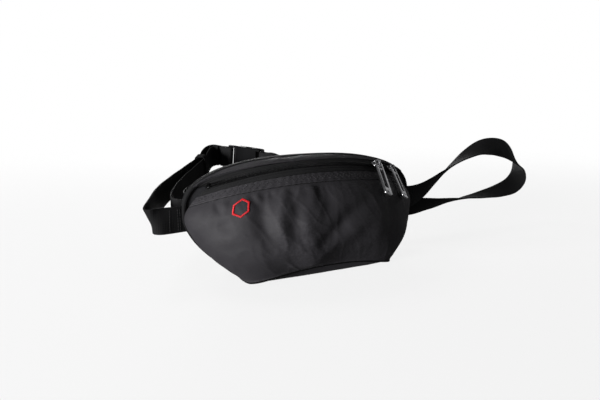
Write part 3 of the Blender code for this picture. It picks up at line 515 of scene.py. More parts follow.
def smooth_curve(rows, at):
    """Read a smooth curve through rows of points; each of the n readings has its own rows."""
    rows = np.asarray(rows, dtype=float)
    if rows.ndim == 2:
        rows = np.broadcast_to(rows[:, None, :], (len(rows), len(at), rows.shape[1]))
    rows = np.concatenate([2 * rows[:1] - rows[1:2], rows, 2 * rows[-1:] - rows[-2:-1]])
    place = np.clip(at, 0, 1) * (len(rows) - 3)
    start = np.minimum(place.astype(int), len(rows) - 4)
    t = (place - start)[:, None]
    p0, p1, p2, p3 = (rows[start + k, np.arange(len(at))] for k in range(4))
    return 0.5 * (2 * p1 + (p2 - p0) * t + (2 * p0 - 5 * p1 + 4 * p2 - p3) * t ** 2
                  + (3 * p1 - p0 - 3 * p2 + p3) * t ** 3)


def wall(share, up):
    """The front wall: share runs from -1 to 1 along it, up from 0 at the seam to 1 at the zip."""
    levels = [read_along(level_line(*level), share) for level in LEVELS]
    levels.append(zip_frame(ZIP_HALF_ANGLE * share)[0])
    return smooth_curve(np.stack(levels), up)


def wall_up_at(distance, share):
    """How far up the wall a line runs that lies at a distance below the zip."""
    part = 0.25     # of the wall below the zip, along which its height is measured
    one = np.ones(len(share))
    span = np.linalg.norm(wall(share, one) - wall(share, (1 - part) * one), axis=1)
    return 1.0 - part * distance / span


def arch(x):
    """Height of the back's top edge."""
    share = np.clip(np.abs(x) / TIP_HALF_WIDTH, 0, 1)
    return TIP_HEIGHT + ARCH_RISE * (1 - share ** ARCH_POWER) ** (1 / ARCH_POWER)


def top_far(share):
    """The top panel's far edge, at the seam with the back."""
    back_x = ZIP_HALF_CHORD * np.sin(ZIP_HALF_ANGLE * share) / math.sin(ZIP_HALF_ANGLE)
    back_x = back_x * (TIP_HALF_WIDTH - 8 * MM) / ZIP_HALF_CHORD
    return np.stack([back_x, np.full(len(back_x), SEAM_Y), arch(back_x)], axis=-1)


TOP_CROWN = 2.0 * MM


def top_surface(share, distance):
    """The top panel, at a distance behind the zip."""
    near = zip_frame(ZIP_HALF_ANGLE * share)[0]
    far = top_far(share)
    span = np.linalg.norm(far - near, axis=1)
    part = np.minimum(distance / span, 1.0)
    crown = TOP_CROWN * 4 * part * (1 - part) * np.clip(span / (30 * MM), 0, 1)
    return near + (far - near) * part[:, None] + crown[:, None] * ZIP_NORMAL


print("the zip's arc is", round(2 * ZIP_RADIUS * ZIP_HALF_ANGLE / MM), "mm long")

# %% [markdown]
# ## Laying cloth on a surface
# A fabric panel starts as Blender's grid.  Each of its points is set down on a surface
# given by a formula, its UV is scaled to metres so that every weave has its real size,
# and Solidify gives it its thickness.
# %% Cloth helpers


def unit(vectors):
    return vectors / np.maximum(np.linalg.norm(vectors, axis=-1, keepdims=True), 1e-12)


def only(obj):
    """Select one object and make it active."""
    bpy.ops.object.select_all(action="DESELECT")
    obj.select_set(True)
    bpy.context.view_layer.objects.active = obj


def apply_modifier(obj, kind, **settings):
    """Add a modifier, set it, and apply it."""
    made = obj.modifiers.new(kind.lower(), kind)
    for key, value in settings.items():
        setattr(made, key, value)
    only(obj)
    bpy.ops.object.modifier_apply(modifier=made.name)


def thickened(obj, thickness, offset=-1.0):
    """Give a sheet its wall, inwards from its face unless the offset says otherwise."""
    apply_modifier(obj, "SOLIDIFY", thickness=thickness, offset=offset)


def edges_rounded(obj, radius, segments, degrees):
    """Round every edge that turns by more than some degrees."""
    apply_modifier(obj, "BEVEL", width=radius, segments=segments, limit_method="ANGLE",
                   angle_limit=math.radians(degrees))


def merged(obj, within, close=False):
    """Merge the points where a strip meets itself, and face it outwards."""
    only(obj)
    bpy.ops.object.mode_set(mode="EDIT")
    bpy.ops.mesh.select_all(action="SELECT")
    bpy.ops.mesh.remove_doubles(threshold=within)
    if close:
        bpy.ops.mesh.fill_holes(sides=0)
    bpy.ops.mesh.normals_make_consistent(inside=False)
    bpy.ops.object.mode_set(mode="OBJECT")


def points_of(obj):
    found = np.empty(len(obj.data.vertices) * 3)
    obj.data.vertices.foreach_get("co", found)
    return found.reshape(-1, 3)


def set_points(obj, points):
    obj.data.vertices.foreach_set("co", np.ascontiguousarray(points, dtype=np.float32).ravel())
    obj.data.update()


def uv_of(piece):
    values = np.empty(len(piece.data.loops) * 2)
    piece.data.uv_layers.active.data.foreach_get("uv", values)
    return values.reshape(-1, 2)


def set_uv(piece, values):
    piece.data.uv_layers.active.data.foreach_set("uv", values.ravel())


def laid(name, columns, rows, place, size, material, turned=False):
    """A grid laid on the surface place(u, v), u and v from 0 to 1; size is in metres.

    A band's UV is turned, so that its first number runs across the band."""
    bpy.ops.object.select_all(action="DESELECT")
    bpy.ops.mesh.primitive_grid_add(x_subdivisions=columns, y_subdivisions=rows, size=1.0)
    piece = bpy.context.active_object
    piece.name = name
    flat = points_of(piece)
    set_points(piece, place(flat[:, 0] + 0.5, flat[:, 1] + 0.5))
    uv = uv_of(piece) * size
    set_uv(piece, uv[:, ::-1] if turned else uv)
    piece.data.materials.append(material)
    bpy.ops.object.shade_smooth()
    return piece


def grid_uv(columns, rows):
    """u and v, from 0 to 1, of each point of a laid grid."""
    u, v = np.linspace(0, 1, columns + 1), np.linspace(0, 1, rows + 1)
    return np.tile(u, rows + 1), np.repeat(v, columns + 1)


def add_wear(obj, values):
    """Keep a number from 0 to 1 on each point, for the finish to read."""
    kept = obj.data.attributes.new("wear", "FLOAT", "POINT")
    kept.data.foreach_set("value", np.clip(values, 0, 1).astype(np.float32))


def surface_frame(place, u, v, step=0.004):
    """Points, right and up directions and outward normals of a surface."""
    right = unit(place(u + step, v) - place(u - step, v))
    up = unit(place(u, v + step) - place(u, v - step))
    return place(u, v), right, up, unit(np.cross(right, up))


def hump(x, middle, width):
    """1 at the middle, fading smoothly to 0 on both sides."""
    return np.exp(-((x - middle) / width) ** 2)


def inside(v, low, high):
    """0 at a piece's two edges, 1 further in than the two distances."""
    return np.clip(v / low, 0, 1) * np.clip((1 - v) / high, 0, 1)


def rolling(points, scale, seed):
    """Smooth noise from -1 to 1 at each point; scale is the size of its swells."""
    shift = Vector((seed * 7.3, seed * 3.1, seed * 5.7))
    return np.array([noise.noise(Vector(point) / scale + shift) for point in points])


def dressed(piece, body, slot, *nodes):
    """Say which body a piece rides on and the CAD nodes it stands for; slot is not used."""
    if nodes:
        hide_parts(*nodes)
    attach(piece, body)
    print(piece.name, "has", len(piece.data.polygons), "faces and rides on", body)
    return piece


# %% [markdown]
# ## Folds in the front
# Soft fabric over an empty pack falls into a few broad folds and small puckers under the
# stitching.  Each fold is a path on the wall with a width and a height: positive is a
# ridge, negative a valley.  Noise adds soft swells, and fine creases where it crosses
# zero.  Summing them all gives one height over the whole front.
# %% Folds
WALL_WIDTH = 145 * MM     # half the wall's length, to turn shares into metres
WALL_HEIGHT = 110 * MM
PUCKER_TOP = 0.855        # the stitching that gathers the cloth, as a share of the height
PUCKER_WIDTH = 2.4 * MM
FOLDS = (
    # width mm, height mm, path of (share, up)
    (21.0, 4.6, ((-0.17, -0.05), (-0.15, 0.12), (-0.14, 0.26), (-0.17, 0.42))),
    (8.0, -3.4, ((-0.43, 0.86), (-0.46, 0.74), (-0.465, 0.62), (-0.455, 0.48), (-0.42, 0.35))),
    (5.5, 2.2, ((-0.30, 0.84), (-0.335, 0.70), (-0.36, 0.58), (-0.35, 0.45), (-0.315, 0.30))),
    (5.0, 1.8, ((-0.29, 0.87), (-0.225, 0.885), (-0.165, 0.85), (-0.135, 0.77), (-0.14, 0.66))),
    (6.5, -2.2, ((-0.27, 0.78), (-0.245, 0.66), (-0.265, 0.52), (-0.27, 0.40))),
    (6.0, 1.6, ((-0.20, 0.62), (-0.20, 0.48), (-0.17, 0.33), (-0.12, 0.20))),
    (7.0, -2.6, ((-0.14, 0.26), (-0.05, 0.37), (0.04, 0.47), (0.12, 0.56), (0.24, 0.63))),
    (9.0, 2.0, ((0.00, 0.24), (0.08, 0.34), (0.18, 0.45), (0.30, 0.53))),
    (10.0, -1.8, ((-0.06, 0.84), (-0.05, 0.70), (0.0, 0.58))),
    (12.0, 1.6, ((0.27, 0.25), (0.33, 0.42), (0.40, 0.55))),
    (9.0, -1.5, ((0.44, 0.30), (0.47, 0.50), (0.46, 0.70))),
    (6.0, -1.4, ((-0.74, 0.62), (-0.69, 0.61), (-0.64, 0.63))),
    (8.0, 1.2, ((-0.80, 0.50), (-0.68, 0.50), (-0.56, 0.52))),
)
PUCKERS = (
    # share along the stitching, length in share of the wall, lean, depth mm
    (-0.80, 0.14, 0.09, -0.9), (-0.75, 0.10, 0.07, 0.7), (-0.69, 0.06, 0.03, -0.5),
    (-0.565, 0.13, 0.08, -1.1), (-0.52, 0.10, 0.06, 0.8), (-0.42, 0.09, 0.03, -0.8),
    (-0.36, 0.06, 0.01, -0.4), (-0.24, 0.06, -0.02, 0.5), (-0.06, 0.08, -0.03, -0.6),
    (0.10, 0.07, -0.02, -0.5), (0.27, 0.08, 0.02, -0.5), (0.47, 0.10, 0.04, -0.7),
    (0.66, 0.09, -0.05, -0.6), (0.80, 0.12, -0.08, -0.8),
)
SWELLS = ((34.0, 0.9, 1), (11.0, 0.25, 2))                        # size mm, height mm, seed
CREASES = ((24.0, 0.75, 31), (38.0, 0.9, 34), (15.0, 0.35, 37))   # size mm, height mm, seed
CREASE_REACH = 0.16       # how far from zero, in the noise, a crease ends


def fold(x, y, path, width, height):
    """A soft ridge or valley along a path; all in metres."""
    path = np.asarray(path) * (WALL_WIDTH, WALL_HEIGHT)
    lengths = np.linalg.norm(np.diff(path, axis=0), axis=1)
    best = np.full(len(x), 1e9)
    run = np.zeros(len(x))
    for start, step, length, done in zip(path, np.diff(path, axis=0), lengths, np.cumsum(lengths)):
        part = ((x - start[0]) * step[0] + (y - start[1]) * step[1]) / length ** 2
        part = np.clip(part, 0, 1)
        away = np.hypot(x - start[0] - part * step[0], y - start[1] - part * step[1])
        nearer = away < best
        best = np.where(nearer, away, best)
        run = np.where(nearer, (done - length + part * length) / lengths.sum(), run)
    fade = np.sin(math.pi * np.clip(run * 0.84 + 0.08, 0, 1)) ** 0.8
    return height * fade * hump(best, 0, width)


def fold_height(share, up, top):
    """All the folds and puckers of the front, zero at its seams."""
    x, y = share * WALL_WIDTH, up * WALL_HEIGHT
    total = np.zeros(len(x))
    for width, height, path in FOLDS:
        total += fold(x, y, path, width * MM, height * MM)
    for place, length, lean, depth in PUCKERS:
        path = [(place + lean * part, PUCKER_TOP - length * part) for part in (0, 0.5, 1)]
        total += fold(x, y, path, PUCKER_WIDTH, depth * MM)
    points = np.stack([x, y, 0 * x], axis=-1)
    for size, height, seed in SWELLS:
        total += height * MM * rolling(points, size * MM, seed)
    leaning = np.stack([x * 0.9 + y * 0.35, y * 0.45 - x * 0.1, 0 * x], axis=-1)
    busy = 0.3 + 0.7 * hump(share, -0.2, 0.28)      # most creases lie left of the middle
    for size, height, seed in CREASES:
        away = np.abs(rolling(leaning, size * MM, seed)) / CREASE_REACH
        total += busy * height * MM * np.clip(1 - away, 0, 1) ** 1.4
    near_top = np.clip((top - up) * WALL_HEIGHT / (5 * MM), 0, 1)
    near_seam = np.clip(up * WALL_HEIGHT / (9 * MM), 0, 1)
    near_end = np.clip((1 - np.abs(share)) * WALL_WIDTH / (12 * MM), 0, 1)
    return total * near_top * near_seam * near_end


# %% [markdown]
# ## Front panel
# One cut of face fabric from the bottom seam to the stitched strip below the zip.  Its
# lower edge is turned in, which makes the dark line of the seam.
# %% Front panel
SHELL_THICK = 1.2 * MM
FRONT_TOP_GAP = COIL_WIDTH + TAPE_WIDTH + FACING_WIDTH + 0.6 * MM
SEAM_TURN = 0.06      # the share of the panel's rows that turn in at the bottom seam
SEAM_TUCK = 2.6 * MM
FRONT_GRID = (250, 96)
FRONT_SIZE = (0.29, 0.105)
FRONT_TOP = 0.85      # about how far up the wall the panel reaches


def front_base(u, v):
    """The smooth wall, up to the stitched strip."""
    share = 2 * u - 1
    return wall(share, v * wall_up_at(FRONT_TOP_GAP, share))


def front_place(u, v):
    """The wall with its folds, rolled out over the seam and tucked in under it."""
    share = share_of(u)
    top = wall_up_at(FRONT_TOP_GAP, share)
    climb = np.clip((v - SEAM_TURN) / (1 - SEAM_TURN), 0, 1)
    _, _, up, out = surface_frame(front_base, np.clip(u, 0.004, 0.996), climb)
    points = front_base(u, climb)
    tuck = np.clip(1 - v / SEAM_TURN, 0, 1)[:, None]
    points = points + fold_height(share, climb * top, top)[:, None] * out
    roll = hump(climb[:, None] * WALL_HEIGHT, 0, 2.2 * MM) * (1 - tuck)
    points += 0.45 * MM * roll * out
    return points - tuck * SEAM_TUCK * out + np.sin(tuck * math.pi / 2) * 0.5 * MM * up


front = laid("front_shell", *FRONT_GRID, front_place, FRONT_SIZE, FACE_FABRIC)
u, v = grid_uv(*FRONT_GRID)
ridge = fold_height(2 * u - 1, v * FRONT_TOP, np.full(len(v), FRONT_TOP)) / (2.5 * MM)
add_wear(front, np.clip(ridge, 0, 1) * 0.6 + hump(v, SEAM_TURN, 0.03))
thickened(front, SHELL_THICK)
dressed(front, "pack", "face_fabric", "front_panel")

# %% [markdown]
# ## Stitches
# A seam shows as short raised stitches.  One stitch is modelled, as a small stretched
# ball half sunk in the cloth, and copied along a line: each copy gets its own frame.
# %% One stitch, and copies of it along a line


def pattern_piece(add, **settings):
    """Make one small primitive, read its points and faces, and take it away again."""
    bpy.ops.object.select_all(action="DESELECT")
    add(**settings)
    made = bpy.context.active_object
    points = points_of(made)
    faces = [tuple(face.vertices) for face in made.data.polygons]
    bpy.data.objects.remove(made, do_unlink=True)
    return points, faces


def copies(name, pattern, frames, material):
    """One mesh of many copies; frames are (place, x, y, z) rows, the axes with their sizes."""
    points, faces = pattern
    everything, all_faces = [], []
    for place, x, y, z in frames:
        base = len(everything) * len(points)
        everything.append(place + points[:, :1] * x + points[:, 1:2] * y + points[:, 2:3] * z)
        all_faces += [tuple(corner + base for corner in face) for face in faces]
    mesh = bpy.data.meshes.new(name)
    mesh.from_pydata(np.vstack(everything).tolist(), [], all_faces)
    mesh.shade_smooth()
    mesh.materials.append(material)
    piece = bpy.data.objects.new(name, mesh)
    bpy.context.collection.objects.link(piece)
    return piece


BALL = pattern_piece(bpy.ops.mesh.primitive_uv_sphere_add, segments=6, ring_count=5, radius=0.5)
THREAD_WIDTH = 0.55 * MM


def stitch_frames(points, outward, length, gap, sink=0.35, width=THREAD_WIDTH):
    """Frames for stitches of one length along a line of points."""
    run = run_along(points)
    made = []
    for middle in np.arange(length / 2, run[-1] - length / 2, length + gap):
        start, end = (read_line(points, run, middle + way * length / 2) for way in (-1, 1))
        out = unit(read_line(outward, run, middle))
        x = end - start
        y = unit(np.cross(out, x)) * width
        made.append(((start + end) / 2 + out * width * (0.5 - sink), x, y, out * width))
    return made


# %% [markdown]
# ## The stitched strip under the zip
# A folded strip of the same fabric joins the front to the zip.  It is sewn down with a
# wide three-step zigzag, so rows of short stitches climb and fall across it.
# %% Facing strip and its zigzag


def facing_place(u, v):
    share = share_of(u, 0.995)
    low = wall_up_at(COIL_WIDTH + TAPE_WIDTH + FACING_WIDTH + 0.3 * MM, share)
    high = wall_up_at(COIL_WIDTH + TAPE_WIDTH + 0.9 * MM, share)
    return wall(share, low + (high - low) * v)


def puffed(place, amount, seams):
    """Cloth swells a little between lines of stitches; seams are places across it."""
    def moved(u, v):
        _, _, _, out = surface_frame(place, u, np.clip(v, 0.01, 0.99))
        near = np.min([np.abs(v - seam) for seam in seams], axis=0)
        swell = np.clip(near / 0.12, 0, 1) ** 0.6
        waves = np.sin(u * 260.0 + 3 * np.sin(u * 31.0))
        ripple = 0.18 * MM * waves * np.clip(1 - near / 0.25, 0, 1)
        return place(u, v) + (amount * swell + ripple)[:, None] * out
    return moved


FACING_SEAMS = (0.0, 0.22, 0.78, 1.0)
facing = laid("zip_facing_strip", 240, 20, puffed(facing_place, 0.5 * MM, FACING_SEAMS),
              (0.26, FACING_WIDTH), FACE_FABRIC)
add_wear(facing, 0.35 + 0.3 * rolling(points_of(facing), 9 * MM, 4))
thickened(facing, 1.1 * MM)
dressed(facing, "pack", "face_fabric", "zip_facing")

ZIGZAG_STEP = 1.15 * MM


def zigzag_frames():
    """Three short stitches up, three down, all along the strip."""
    strip_length = 2 * ZIP_RADIUS * ZIP_HALF_ANGLE * 1.08
    count = int(strip_length / ZIGZAG_STEP)
    u = (np.arange(count + 1) + 0.5) / (count + 1.5) * 0.97 + 0.015
    climb = np.abs((np.arange(count + 1) / 3.0) % 2 - 1)
    points, _, _, outward = surface_frame(facing_place, u, 0.26 + 0.50 * climb)
    points = points + outward * 0.42 * MM
    made = []
    for start, end, out in zip(points[:-1], points[1:], outward):
        x = (end - start) * 0.86
        y = unit(np.cross(out, x)) * THREAD_WIDTH
        made.append(((start + end) / 2 + out * 0.12 * MM, x, y, out * THREAD_WIDTH))
    return made


zigzag = copies("zip_facing_stitches", BALL, zigzag_frames(), PALE_THREAD)
dressed(zigzag, "pack", "face_fabric")

# %% [markdown]
# ## Top panel
# The lens of fabric behind the zip.  It is one piece: its back edge lies in the seam with
# the back, and its front edge runs along the zip.
# %% Top panel
TOP_NEAR = COIL_WIDTH + TAPE_WIDTH + 0.9 * MM
TOP_GRID = (200, 36)


def bends(piece, slot, *nodes):
    """A piece that crosses the mouth: its CAD nodes are hidden and its place is baked into its
    points.
    """
    if nodes:
        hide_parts(*nodes)
    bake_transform(piece)
    print(piece.name, "has", len(piece.data.polygons), "faces and bends with the flap")
    return piece


def top_place(u, v):
    share = share_of(u, TAPE_REACH)
    reach = np.linalg.norm(top_far(share) - zip_frame(ZIP_HALF_ANGLE * share)[0], axis=1)
    return top_surface(share, TOP_NEAR + (reach - TOP_NEAR) * v)


def top_dressed(u, v):
    """The top panel with its swells, and a folded lip beside the zip."""
    _, _, _, out = surface_frame(top_place, u, np.clip(v, 0.01, 0.99))
    points = top_place(u, v)
    swells = 0.8 * MM * rolling(points, 26 * MM, 7) + 0.3 * MM * rolling(points, 9 * MM, 8)
    lip = 0.8 * MM * hump(v, 0.05, 0.05) - 0.4 * MM * hump(v, 0.15, 0.04)
    return points + (inside(v, 0.12, 0.12) * swells + lip)[:, None] * out


top = laid("top_panel", *TOP_GRID, top_dressed, (0.23, 0.03), FACE_FABRIC)
add_wear(top, 0.25 + 0.35 * hump(grid_uv(*TOP_GRID)[1], 0, 0.1))
thickened(top, SHELL_THICK)
bends(top, "face_fabric", "top_flap", "top_end_left", "top_end_right")


line, _, _, out = surface_frame(top_place, np.linspace(0.01, 0.99, 200), np.full(200, 0.10))
row = stitch_frames(line + 0.35 * MM * out, out, 2.4 * MM, 0.5 * MM)
bends(copies("top_panel_stitches", BALL, row, PALE_THREAD), "face_fabric")

# %% [markdown]
# ## The zip
# Each side is a woven tape with a nylon coil along its edge.  The coil is modelled as
# teeth: short bars across a cord, and the bars of one side sit between those of the
# other, which is what keeps a zip shut.
# %% Tapes


def tape_place(side):
    """Surface of one tape: side -1 goes down the front, +1 back over the top."""
    def place(u, v):
        share = share_of(u, TAPE_REACH)
        middle, _, across, outward = zip_frame(ZIP_HALF_ANGLE * share)
        near = middle + side * (COIL_WIDTH + 0.3 * MM) * across - 0.3 * MM * outward
        if side < 0:
            far = wall(share, wall_up_at(COIL_WIDTH + TAPE_WIDTH, share))
        else:
            far = top_surface(share, np.full(len(share), COIL_WIDTH + TAPE_WIDTH))
        low, high = (far, near) if side < 0 else (near, far)
        return low + (high - low) * v[:, None]
    return place


TAPE_RIDGES = (
    # place across the tape from the teeth, its width, height mm
    (0.20, 0.08, 0.55),
    (0.58, 0.07, 0.45),
    (0.92, 0.08, -0.5),
)


def tape(name, side):
    """One tape, with the ridges that its coil and its seams press into it."""
    place = tape_place(side)

    def ridged(u, v):
        _, _, _, out = surface_frame(place, u, np.clip(v, 0.01, 0.99))
        near = v if side > 0 else 1 - v
        ridge = sum(height * MM * hump(near, middle, width) for middle, width, height in TAPE_RIDGES)
        return place(u, v) + ridge[:, None] * out

    made = laid(name, 220, 18, ridged, (0.24, TAPE_WIDTH), ZIP_TAPE, turned=True)
    thickened(made, 0.6 * MM)
    return made


dressed(tape("zip_tape_lower", -1), "pack", "zip_tape", "zip_tape_front")
bends(tape("zip_tape_upper", 1), "zip_tape",
      "zip_tape_rear", "zip_tape_end_left", "zip_tape_end_right")

# %% Teeth
TOOTH_PITCH = 1.3 * MM
TOOTH = pattern_piece(bpy.ops.mesh.primitive_uv_sphere_add, segments=8, ring_count=6, radius=0.5)


def tooth_frames(side):
    """Bars across the chain with a round head at the middle, and the cord they wind on."""
    arc = 2 * ZIP_RADIUS * CHAIN_HALF_ANGLE
    count = int(arc / TOOTH_PITCH)
    shift = 0.25 if side > 0 else -0.25
    angle = (np.arange(count) + 0.5 + shift) / count * 2 * CHAIN_HALF_ANGLE - CHAIN_HALF_ANGLE
    middle, along, across, outward = zip_frame(angle)
    made = []
    for k in range(count):
        bar = middle[k] + across[k] * side * 1.15 * MM + outward[k] * 0.25 * MM
        made.append((bar, across[k] * 2.7 * MM, along[k] * 0.82 * MM, outward[k] * 1.45 * MM))
        head = middle[k] + across[k] * side * 0.12 * MM + outward[k] * 0.3 * MM
        made.append((head, across[k] * 0.95 * MM, along[k] * 1.05 * MM, outward[k] * 1.5 * MM))
    return made


def chain_base(side):
    """The strip of cord and coil turns under the teeth."""
    def place(u, v):
        middle, _, across, outward = zip_frame(share_of(u) * CHAIN_HALF_ANGLE)
        away = 0.15 * MM + (v if side > 0 else 1 - v) * 2.25 * MM
        rise = -0.15 * MM + 0.35 * MM * np.sin(math.pi * v)
        return middle + side * away[:, None] * across + rise[:, None] * outward
    return place


def joined(name, pieces):
    """Join finished pieces into one."""
    bpy.ops.object.select_all(action="DESELECT")
    for piece in pieces:
        piece.select_set(True)
    bpy.context.view_layer.objects.active = pieces[0]
    bpy.ops.object.join()
    pieces[0].name = name
    return pieces[0]


def chain(name, side):
    """One side of the zip's coil: its cord with the teeth on it."""
    teeth = copies(name + "_teeth", TOOTH, tooth_frames(side), NYLON)
    base = laid(name + "_cord", 200, 6, chain_base(side), (0.21, 0.0023), NYLON)
    thickened(base, 0.8 * MM)
    return joined(name, [base, teeth])


dressed(chain("zip_chain_lower", -1), "pack", "zip_coil", "zip_coil_front")
bends(chain("zip_chain_upper", 1), "zip_coil",
      "zip_coil_rear", "zip_coil_end_left", "zip_coil_end_right")

# %% [markdown]
# ## Metal and plastic pieces that keep their CAD shape
# The stops, sliders, pulls and both halves of the buckle already have the right shape in
# the frame.  A copy of each is merged into one clean mesh, its flat faces are joined, and
# every edge gets a small round, because real castings and mouldings have no sharp edges.
# %% Rounded copies of CAD pieces
MERGE_WITHIN = 0.005 * MM
SMOOTH_ANGLE = math.radians(40)


def rounded_copy(node, name, radius, material):
    """A merged, edge-rounded copy of a CAD node."""
    only(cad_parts[node])
    bpy.ops.object.duplicate()
    piece = bpy.context.active_object
    piece.name = name
    piece.parent = None
    piece.matrix_world = Matrix.Identity(4)
    for key in list(piece.keys()):
        del piece[key]
    bpy.ops.object.mode_set(mode="EDIT")
    bpy.ops.mesh.select_all(action="SELECT")
    bpy.ops.mesh.remove_doubles(threshold=MERGE_WITHIN)
    bpy.ops.mesh.dissolve_limited(angle_limit=math.radians(1.5))
    bpy.ops.object.mode_set(mode="OBJECT")
    piece.data.materials.clear()
    piece.data.materials.append(material)
    edges_rounded(piece, radius, 3, 28)
    bpy.ops.object.shade_smooth_by_angle(angle=SMOOTH_ANGLE)
    return piece


ROUNDED = (
    # CAD node, name, radius mm, finish, body, slot
    ("zip_stop_left", "stop_left", 0.3, DARK_METAL, "pack", "zip_stop"),
    ("zip_stop_right", "stop_right", 0.3, DARK_METAL, "pack", "zip_stop"),
    ("slider_a", "slider_body_a", 0.42, GUNMETAL, "slider_a_body", "zip_metal"),
    ("slider_b", "slider_body_b", 0.42, GUNMETAL, "slider_b_body", "zip_metal"),
    ("buckle_socket", "buckle_sleeve", 0.45, BUCKLE_PLASTIC, "pack", "buckle_plastic"),
    ("buckle_tongue", "buckle_plug", 0.4, BUCKLE_PLASTIC, "tongue", "buckle_plastic"),
    ("prong_upper", "buckle_arm_upper", 0.4, BUCKLE_PLASTIC, "prong_upper_body", "buckle_plastic"),
    ("prong_lower", "buckle_arm_lower", 0.4, BUCKLE_PLASTIC, "prong_lower_body", "buckle_plastic"),
)
for node, name, radius, material, body, slot in ROUNDED:
    dressed(rounded_copy(node, name, radius * MM, material), body, slot, node)

# %% [markdown]
# ## Zip pulls
# Each pull is one long ring with a solid end, and its shape comes from the frame.  A
# bridge across the ring keeps the slider's bail in a small eye, and the solid end has a
# round boss for the thumb.  Both are small primitives with rounded edges, joined to it.
# %% Pulls
PULL_LENGTH = 43.0 * MM
PULL_WIDTH = 11.0 * MM
PULL_THICK = 1.7 * MM
PULL_TILT = math.radians(13.0)
PULL_TURN = math.radians(-13.0)
PIN_HEIGHT = 5.3 * MM
BRIDGE_DOWN = 9.0 * MM
BOSS_DOWN = PULL_LENGTH - 5.4 * MM
PULLS = (("a", 45.6 * MM), ("b", 16.2 * MM))    # letter, how far from the zip's right end


def pull_frame(from_end):
    """Where a pull hangs: its pin as origin, x along the pin and y down the pull."""
    angle = ZIP_HALF_ANGLE - from_end / ZIP_RADIUS
    middle, along, across, outward = (row[0] for row in zip_frame(angle))
    hang = -math.cos(PULL_TILT) * across - math.sin(PULL_TILT) * outward
    x = math.cos(PULL_TURN) * along - math.sin(PULL_TURN) * hang
    y = math.cos(PULL_TURN) * hang + math.sin(PULL_TURN) * along
    turn = Matrix((Vector(x), Vector(y), Vector(np.cross(x, y)))).transposed().to_4x4()
    turn.translation = Vector(middle + PIN_HEIGHT * outward)
    return turn


def finished_detail(turn, down, size, radius):
    """Size the unit primitive that is active, set it down a pull and round its edges."""
    piece = bpy.context.active_object
    place = Matrix.Translation((0, down, 0)) @ Matrix.Diagonal((*size, 1.0))
    piece.data.transform(turn @ place)
    piece.data.materials.append(GUNMETAL)
    edges_rounded(piece, radius, 3, 40)
    bpy.ops.object.shade_smooth_by_angle(angle=SMOOTH_ANGLE)
    return piece


for letter, from_end in PULLS:
    turn = pull_frame(from_end)
    tab = rounded_copy("pull_" + letter, "tab", 0.62 * MM, GUNMETAL)
    bpy.ops.object.select_all(action="DESELECT")
    bpy.ops.mesh.primitive_cube_add(size=1.0)
    bridge_size = (PULL_WIDTH * 0.62, 2.4 * MM, PULL_THICK * 0.86)
    bridge = finished_detail(turn, BRIDGE_DOWN, bridge_size, 0.5 * MM)
    bpy.ops.object.select_all(action="DESELECT")
    bpy.ops.mesh.primitive_cylinder_add(vertices=24, radius=0.5, depth=1.0)
    boss_size = (2.6 * MM, 2.6 * MM, PULL_THICK + 0.7 * MM)
    boss = finished_detail(turn, BOSS_DOWN, boss_size, 0.25 * MM)
    pull = joined("pull_tab_" + letter, [tab, bridge, boss])
    dressed(pull, f"pull_{letter}_body", "zip_metal", "pull_" + letter)
    print(pull.name, "hangs from", [round(v, 3) for v in turn.translation])

# %% [markdown]
# ## Bottom gusset
# The lens-shaped bottom is what the pack stands on.  It curls up to meet the front along
# the turned-in seam.  A thin dark cord of piping fills that seam from end to end.
# %% Bottom gusset
GUSSET_INSET = 1.5 * MM
GUSSET_CURL = 0.16      # the share of its depth over which it comes down to the ground
GUSSET_GRID = (160, 40)


def seam_line(share):
    """The bottom seam, where the wall starts."""
    return wall(share, np.zeros(len(share)))


def gusset_edge(share):
    """The gusset's front edge, a little inside the seam."""
    seam = seam_line(share)
    run = seam_line(share + 0.004) - seam_line(share - 0.004)
    into = unit(np.stack([-run[:, 1], run[:, 0], 0 * run[:, 0]], axis=-1))
    edge = seam + GUSSET_INSET * into
    edge[:, 1] = np.minimum(edge[:, 1], SEAM_Y - 0.2 * MM)
    edge[:, 2] = np.maximum(edge[:, 2] - 0.4 * MM, 0.0)
    return edge


def gusset_place(u, v):
    share = -share_of(u, 0.985)
    start = gusset_edge(share)
    half_width = BASE_HALF_WIDTH - GUSSET_INSET
    end = np.stack([share * half_width, 0 * share + SEAM_Y, 0 * share], axis=-1)
    part = np.clip(v, 0, 1) ** 1.5
    points = start + (end - start) * part[:, None]
    points[:, 2] = start[:, 2] * np.clip(1 - part / GUSSET_CURL, 0, 1) ** 1.6
    return points


def gusset_creased(u, v):
    points = gusset_place(u, v)
    points[:, 2] += inside(v, 0.3, 0.1) * 0.5 * MM * (1 + rolling(points, 22 * MM, 11))
    return points


gusset = laid("gusset_panel", *GUSSET_GRID, gusset_creased, (0.16, 0.05), FACE_FABRIC)
add_wear(gusset, 0.2 + 0.5 * hump(grid_uv(*GUSSET_GRID)[1], 0.28, 0.1))
thickened(gusset, 1.1 * MM)
dressed(gusset, "pack", "face_fabric", "bottom_gusset")

# %% Dark piping in the seam between the front and the gusset
PIPING_RADIUS = 0.85 * MM


def piping_place(u, v):
    """A round cord along the bottom seam; u runs along it and v round it."""
    share = share_of(u, 0.992)
    before, after = np.clip(share - 0.004, -1, 1), np.clip(share + 0.004, -1, 1)
    along = unit(seam_line(after) - seam_line(before))
    side = unit(np.cross(along, np.array((0.0, 0.0, 1.0))))
    rise = np.cross(side, along)
    turn = (2 * math.pi * v)[:, None]
    middle = seam_line(share) + 0.35 * MM * side
    middle[:, 2] = np.maximum(middle[:, 2], PIPING_RADIUS)
    return middle + PIPING_RADIUS * (np.cos(turn) * side + np.sin(turn) * rise)


